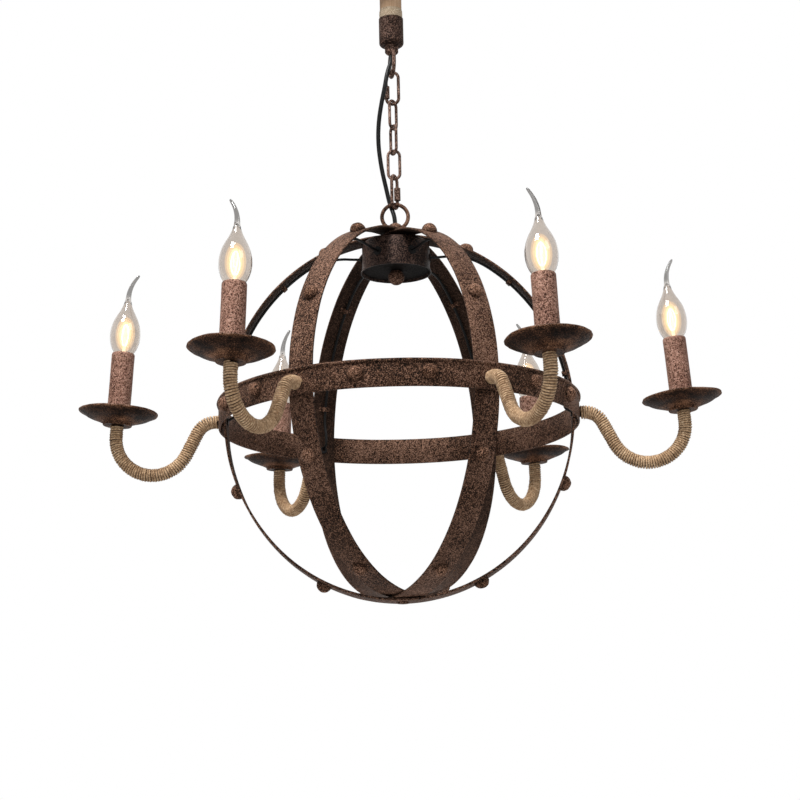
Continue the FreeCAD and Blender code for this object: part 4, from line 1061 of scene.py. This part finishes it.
cap_top, cap_foot = SLEEVE_MOUTH - 0.012, SLEEVE_MOUTH - 0.033
cap_profile = [(0, cap_foot - 0.0013), (0.0022, cap_foot - 0.0013), (0.0026, cap_foot),
               (CAP_RADIUS - 0.001, cap_foot + 0.0004)]
for k in range(25):
    cap_profile.append((CAP_RADIUS - 0.00035 - 0.00033 * math.cos(2 * math.pi * k / 4.0),
                        cap_foot + 0.001 + 0.014 * k / 24))
cap_profile += [(CAP_RADIUS, cap_top - 0.005), (CAP_RADIUS, cap_top), (CAP_RADIUS - 0.0009, cap_top),
                (CAP_RADIUS - 0.0009, cap_top - 0.003), (0, cap_top - 0.003)]

foot = SLEEVE_MOUTH - 0.0136
mount_profile = [(0, foot), (0.0039, foot), (0.0036, foot + 0.003), (0.0026, foot + 0.010),
                 (0.0017, foot + 0.017), (0.0013, foot + 0.026), (0.0016, foot + 0.030),
                 (0.0010, foot + 0.0315), (0, foot + 0.032)]

wire_verts, wire_faces = [], []
for strand in range(4):
    a = math.radians(45 + 90 * strand)
    line = []
    for k in range(15):
        u = k / 14
        r = 0.0010 + 0.0036 * math.sin(math.pi * u) ** 0.7
        line.append(Vector((r * math.cos(a + 0.5 * u), r * math.sin(a + 0.5 * u),
                            foot + 0.022 + 0.024 * u)))
    join(wire_verts, wire_faces, *tube_mesh(line, 0.00045, 8))

glow_verts, glow_faces, shares = [], [], []
for wide, tall, share_ in GLOWS:
    egg = [(wide * math.sin(math.pi * k / 16),
            SLEEVE_MOUTH + 0.0215 - tall * math.cos(math.pi * k / 16)) for k in range(17)]
    more, more_faces = lathe(egg, 32)
    join(glow_verts, glow_faces, more, more_faces)
    shares += [share_] * len(more)

inner_pieces = [("cap", *lathe(cap_profile, 48), brass),
                ("mount", *lathe(mount_profile, 24), mount_painted_glow),
                ("filament", wire_verts, wire_faces, filament_light),
                ("glow", glow_verts, glow_faces, painted_glow)]
for number in range(1, ARM_COUNT + 1):
    bend = math.radians(BULB_TIPS[number - 1]) - ARM_STEP * (number - 1)
    verts, faces = lathe([(0, glass_line[0][1])] + glass_line, GLASS_SIDES)
    base_r, base_z = glass_line[-1]
    rest = SLEEVE_MOUTH + BULB_HEIGHT - base_z
    rows, ring0 = 12, len(verts) - GLASS_SIDES
    for i in range(1, rows + 1):
        share_ = i / rows
        tilt = math.radians(40) * share_
        x, z = 0.36 * rest * share_ ** 2, base_z + rest * (share_ - 0.06 * share_ ** 2)
        r = base_r * (1 - 0.52 * share_) * (1 if i < rows else 0.6)
        for k in range(GLASS_SIDES):
            a = 2 * math.pi * k / GLASS_SIDES
            flat = Matrix.Rotation(-bend, 3, "Z") @ Vector((r * math.cos(a), r * math.sin(a), 0))
            flat = Matrix.Rotation(tilt, 3, "Y") @ flat
            verts.append(Matrix.Rotation(bend, 3, "Z") @ (flat + Vector((x, 0, z))))
    for i in range(rows):
        for k in range(GLASS_SIDES):
            n = (k + 1) % GLASS_SIDES
            a = ring0 + i * GLASS_SIDES
            faces.append((a + k, a + n, a + GLASS_SIDES + n, a + GLASS_SIDES + k))
    faces.append(tuple(range(len(verts) - GLASS_SIDES, len(verts))))
    join(verts, faces, within, [f[::-1] for f in within_faces])
    envelope = mesh_object("bulb_%d_glass" % number, on_arm(verts, number), faces, glass, sharp=80)
    point_values(envelope, "drawn",
                 [min(max((v.z - base_z) / 0.006 + 0.5, 0), 1) for v in verts])
    pieces = [envelope]
    for kind, verts, faces, material in inner_pieces:
        pieces.append(mesh_object("bulb_%d_%s" % (number, kind), on_arm(verts, number), faces,
                                  material))
    point_values(pieces[-1], "share", shares)
    for piece in pieces:
        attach(piece, "lamp_%d" % number)
        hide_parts("bulb_%d" % number)


# Studio: a pale floor under the hanging lamp, a white surround, and three large soft lamps, the
# main one high on the left in front.
WORLD_FILL = 0.26
FLOOR_PALE = 0.78
STUDIO_LAMPS = [("key", (-0.9, -1.4, 2.0), 1.1, 115), ("side", (1.9, -1.9, 1.2), 1.2, 20),
                ("front", (-0.5, -3.2, -0.1), 1.6, 17)]
FLOOR_REACH = 6
FLOOR_Z = -2.4


def plain_paint(name, tone):
    s = Shader(name)
    paint = s.put("BsdfDiffuse", {"Color": rgb(tone, tone, tone)})
    glow = s.put("Emission", {"Color": rgb(1, 1, 1), "Strength": 1.0})
    path = s.add("LightPath")
    mirror = s.sums("MAXIMUM", path.outputs["Is Glossy Ray"], path.outputs["Is Transmission Ray"])
    seen_pale = s.times(path.outputs["Is Camera Ray"], FLOOR_PALE)
    return s.mixed(s.sums("MAXIMUM", mirror, seen_pale), paint, glow)


floor_corners = [(FLOOR_REACH * x, FLOOR_REACH * y, FLOOR_Z)
                 for x, y in ((-1, -1), (1, -1), (1, 1), (-1, 1))]
floor = mesh_object("studio_floor", floor_corners, [(0, 1, 2, 3)],
                    plain_paint("floor paint", 0.86), smooth=False)

s = Shader("studio", bpy.data.worlds, "World")
white = s.put("Background", {0: rgb(1, 1, 1), 1: 1.0})
fill = s.put("Background", {0: rgb(1.0, 0.985, 0.965), 1: WORLD_FILL})
path = s.add("LightPath")
mirror = s.sums("MAXIMUM", path.outputs["Is Glossy Ray"], path.outputs["Is Transmission Ray"])
seen = s.sums("MAXIMUM", path.outputs["Is Camera Ray"], mirror)
bpy.context.scene.world = s.mixed(seen, fill, white)

for name, spot, size, power in STUDIO_LAMPS:
    data = bpy.data.lights.new(name, "AREA")
    data.size = size
    data.energy = power
    lamp = placed(name, data)
    lamp.location = spot
    lamp.visible_camera = False
    lamp.visible_transmission = False
    lamp.rotation_euler = (Vector((0, 0, ORB_Z)) - Vector(spot)).to_track_quat("-Z", "Y").to_euler()

bpy.context.scene.view_settings.view_transform = "Standard"
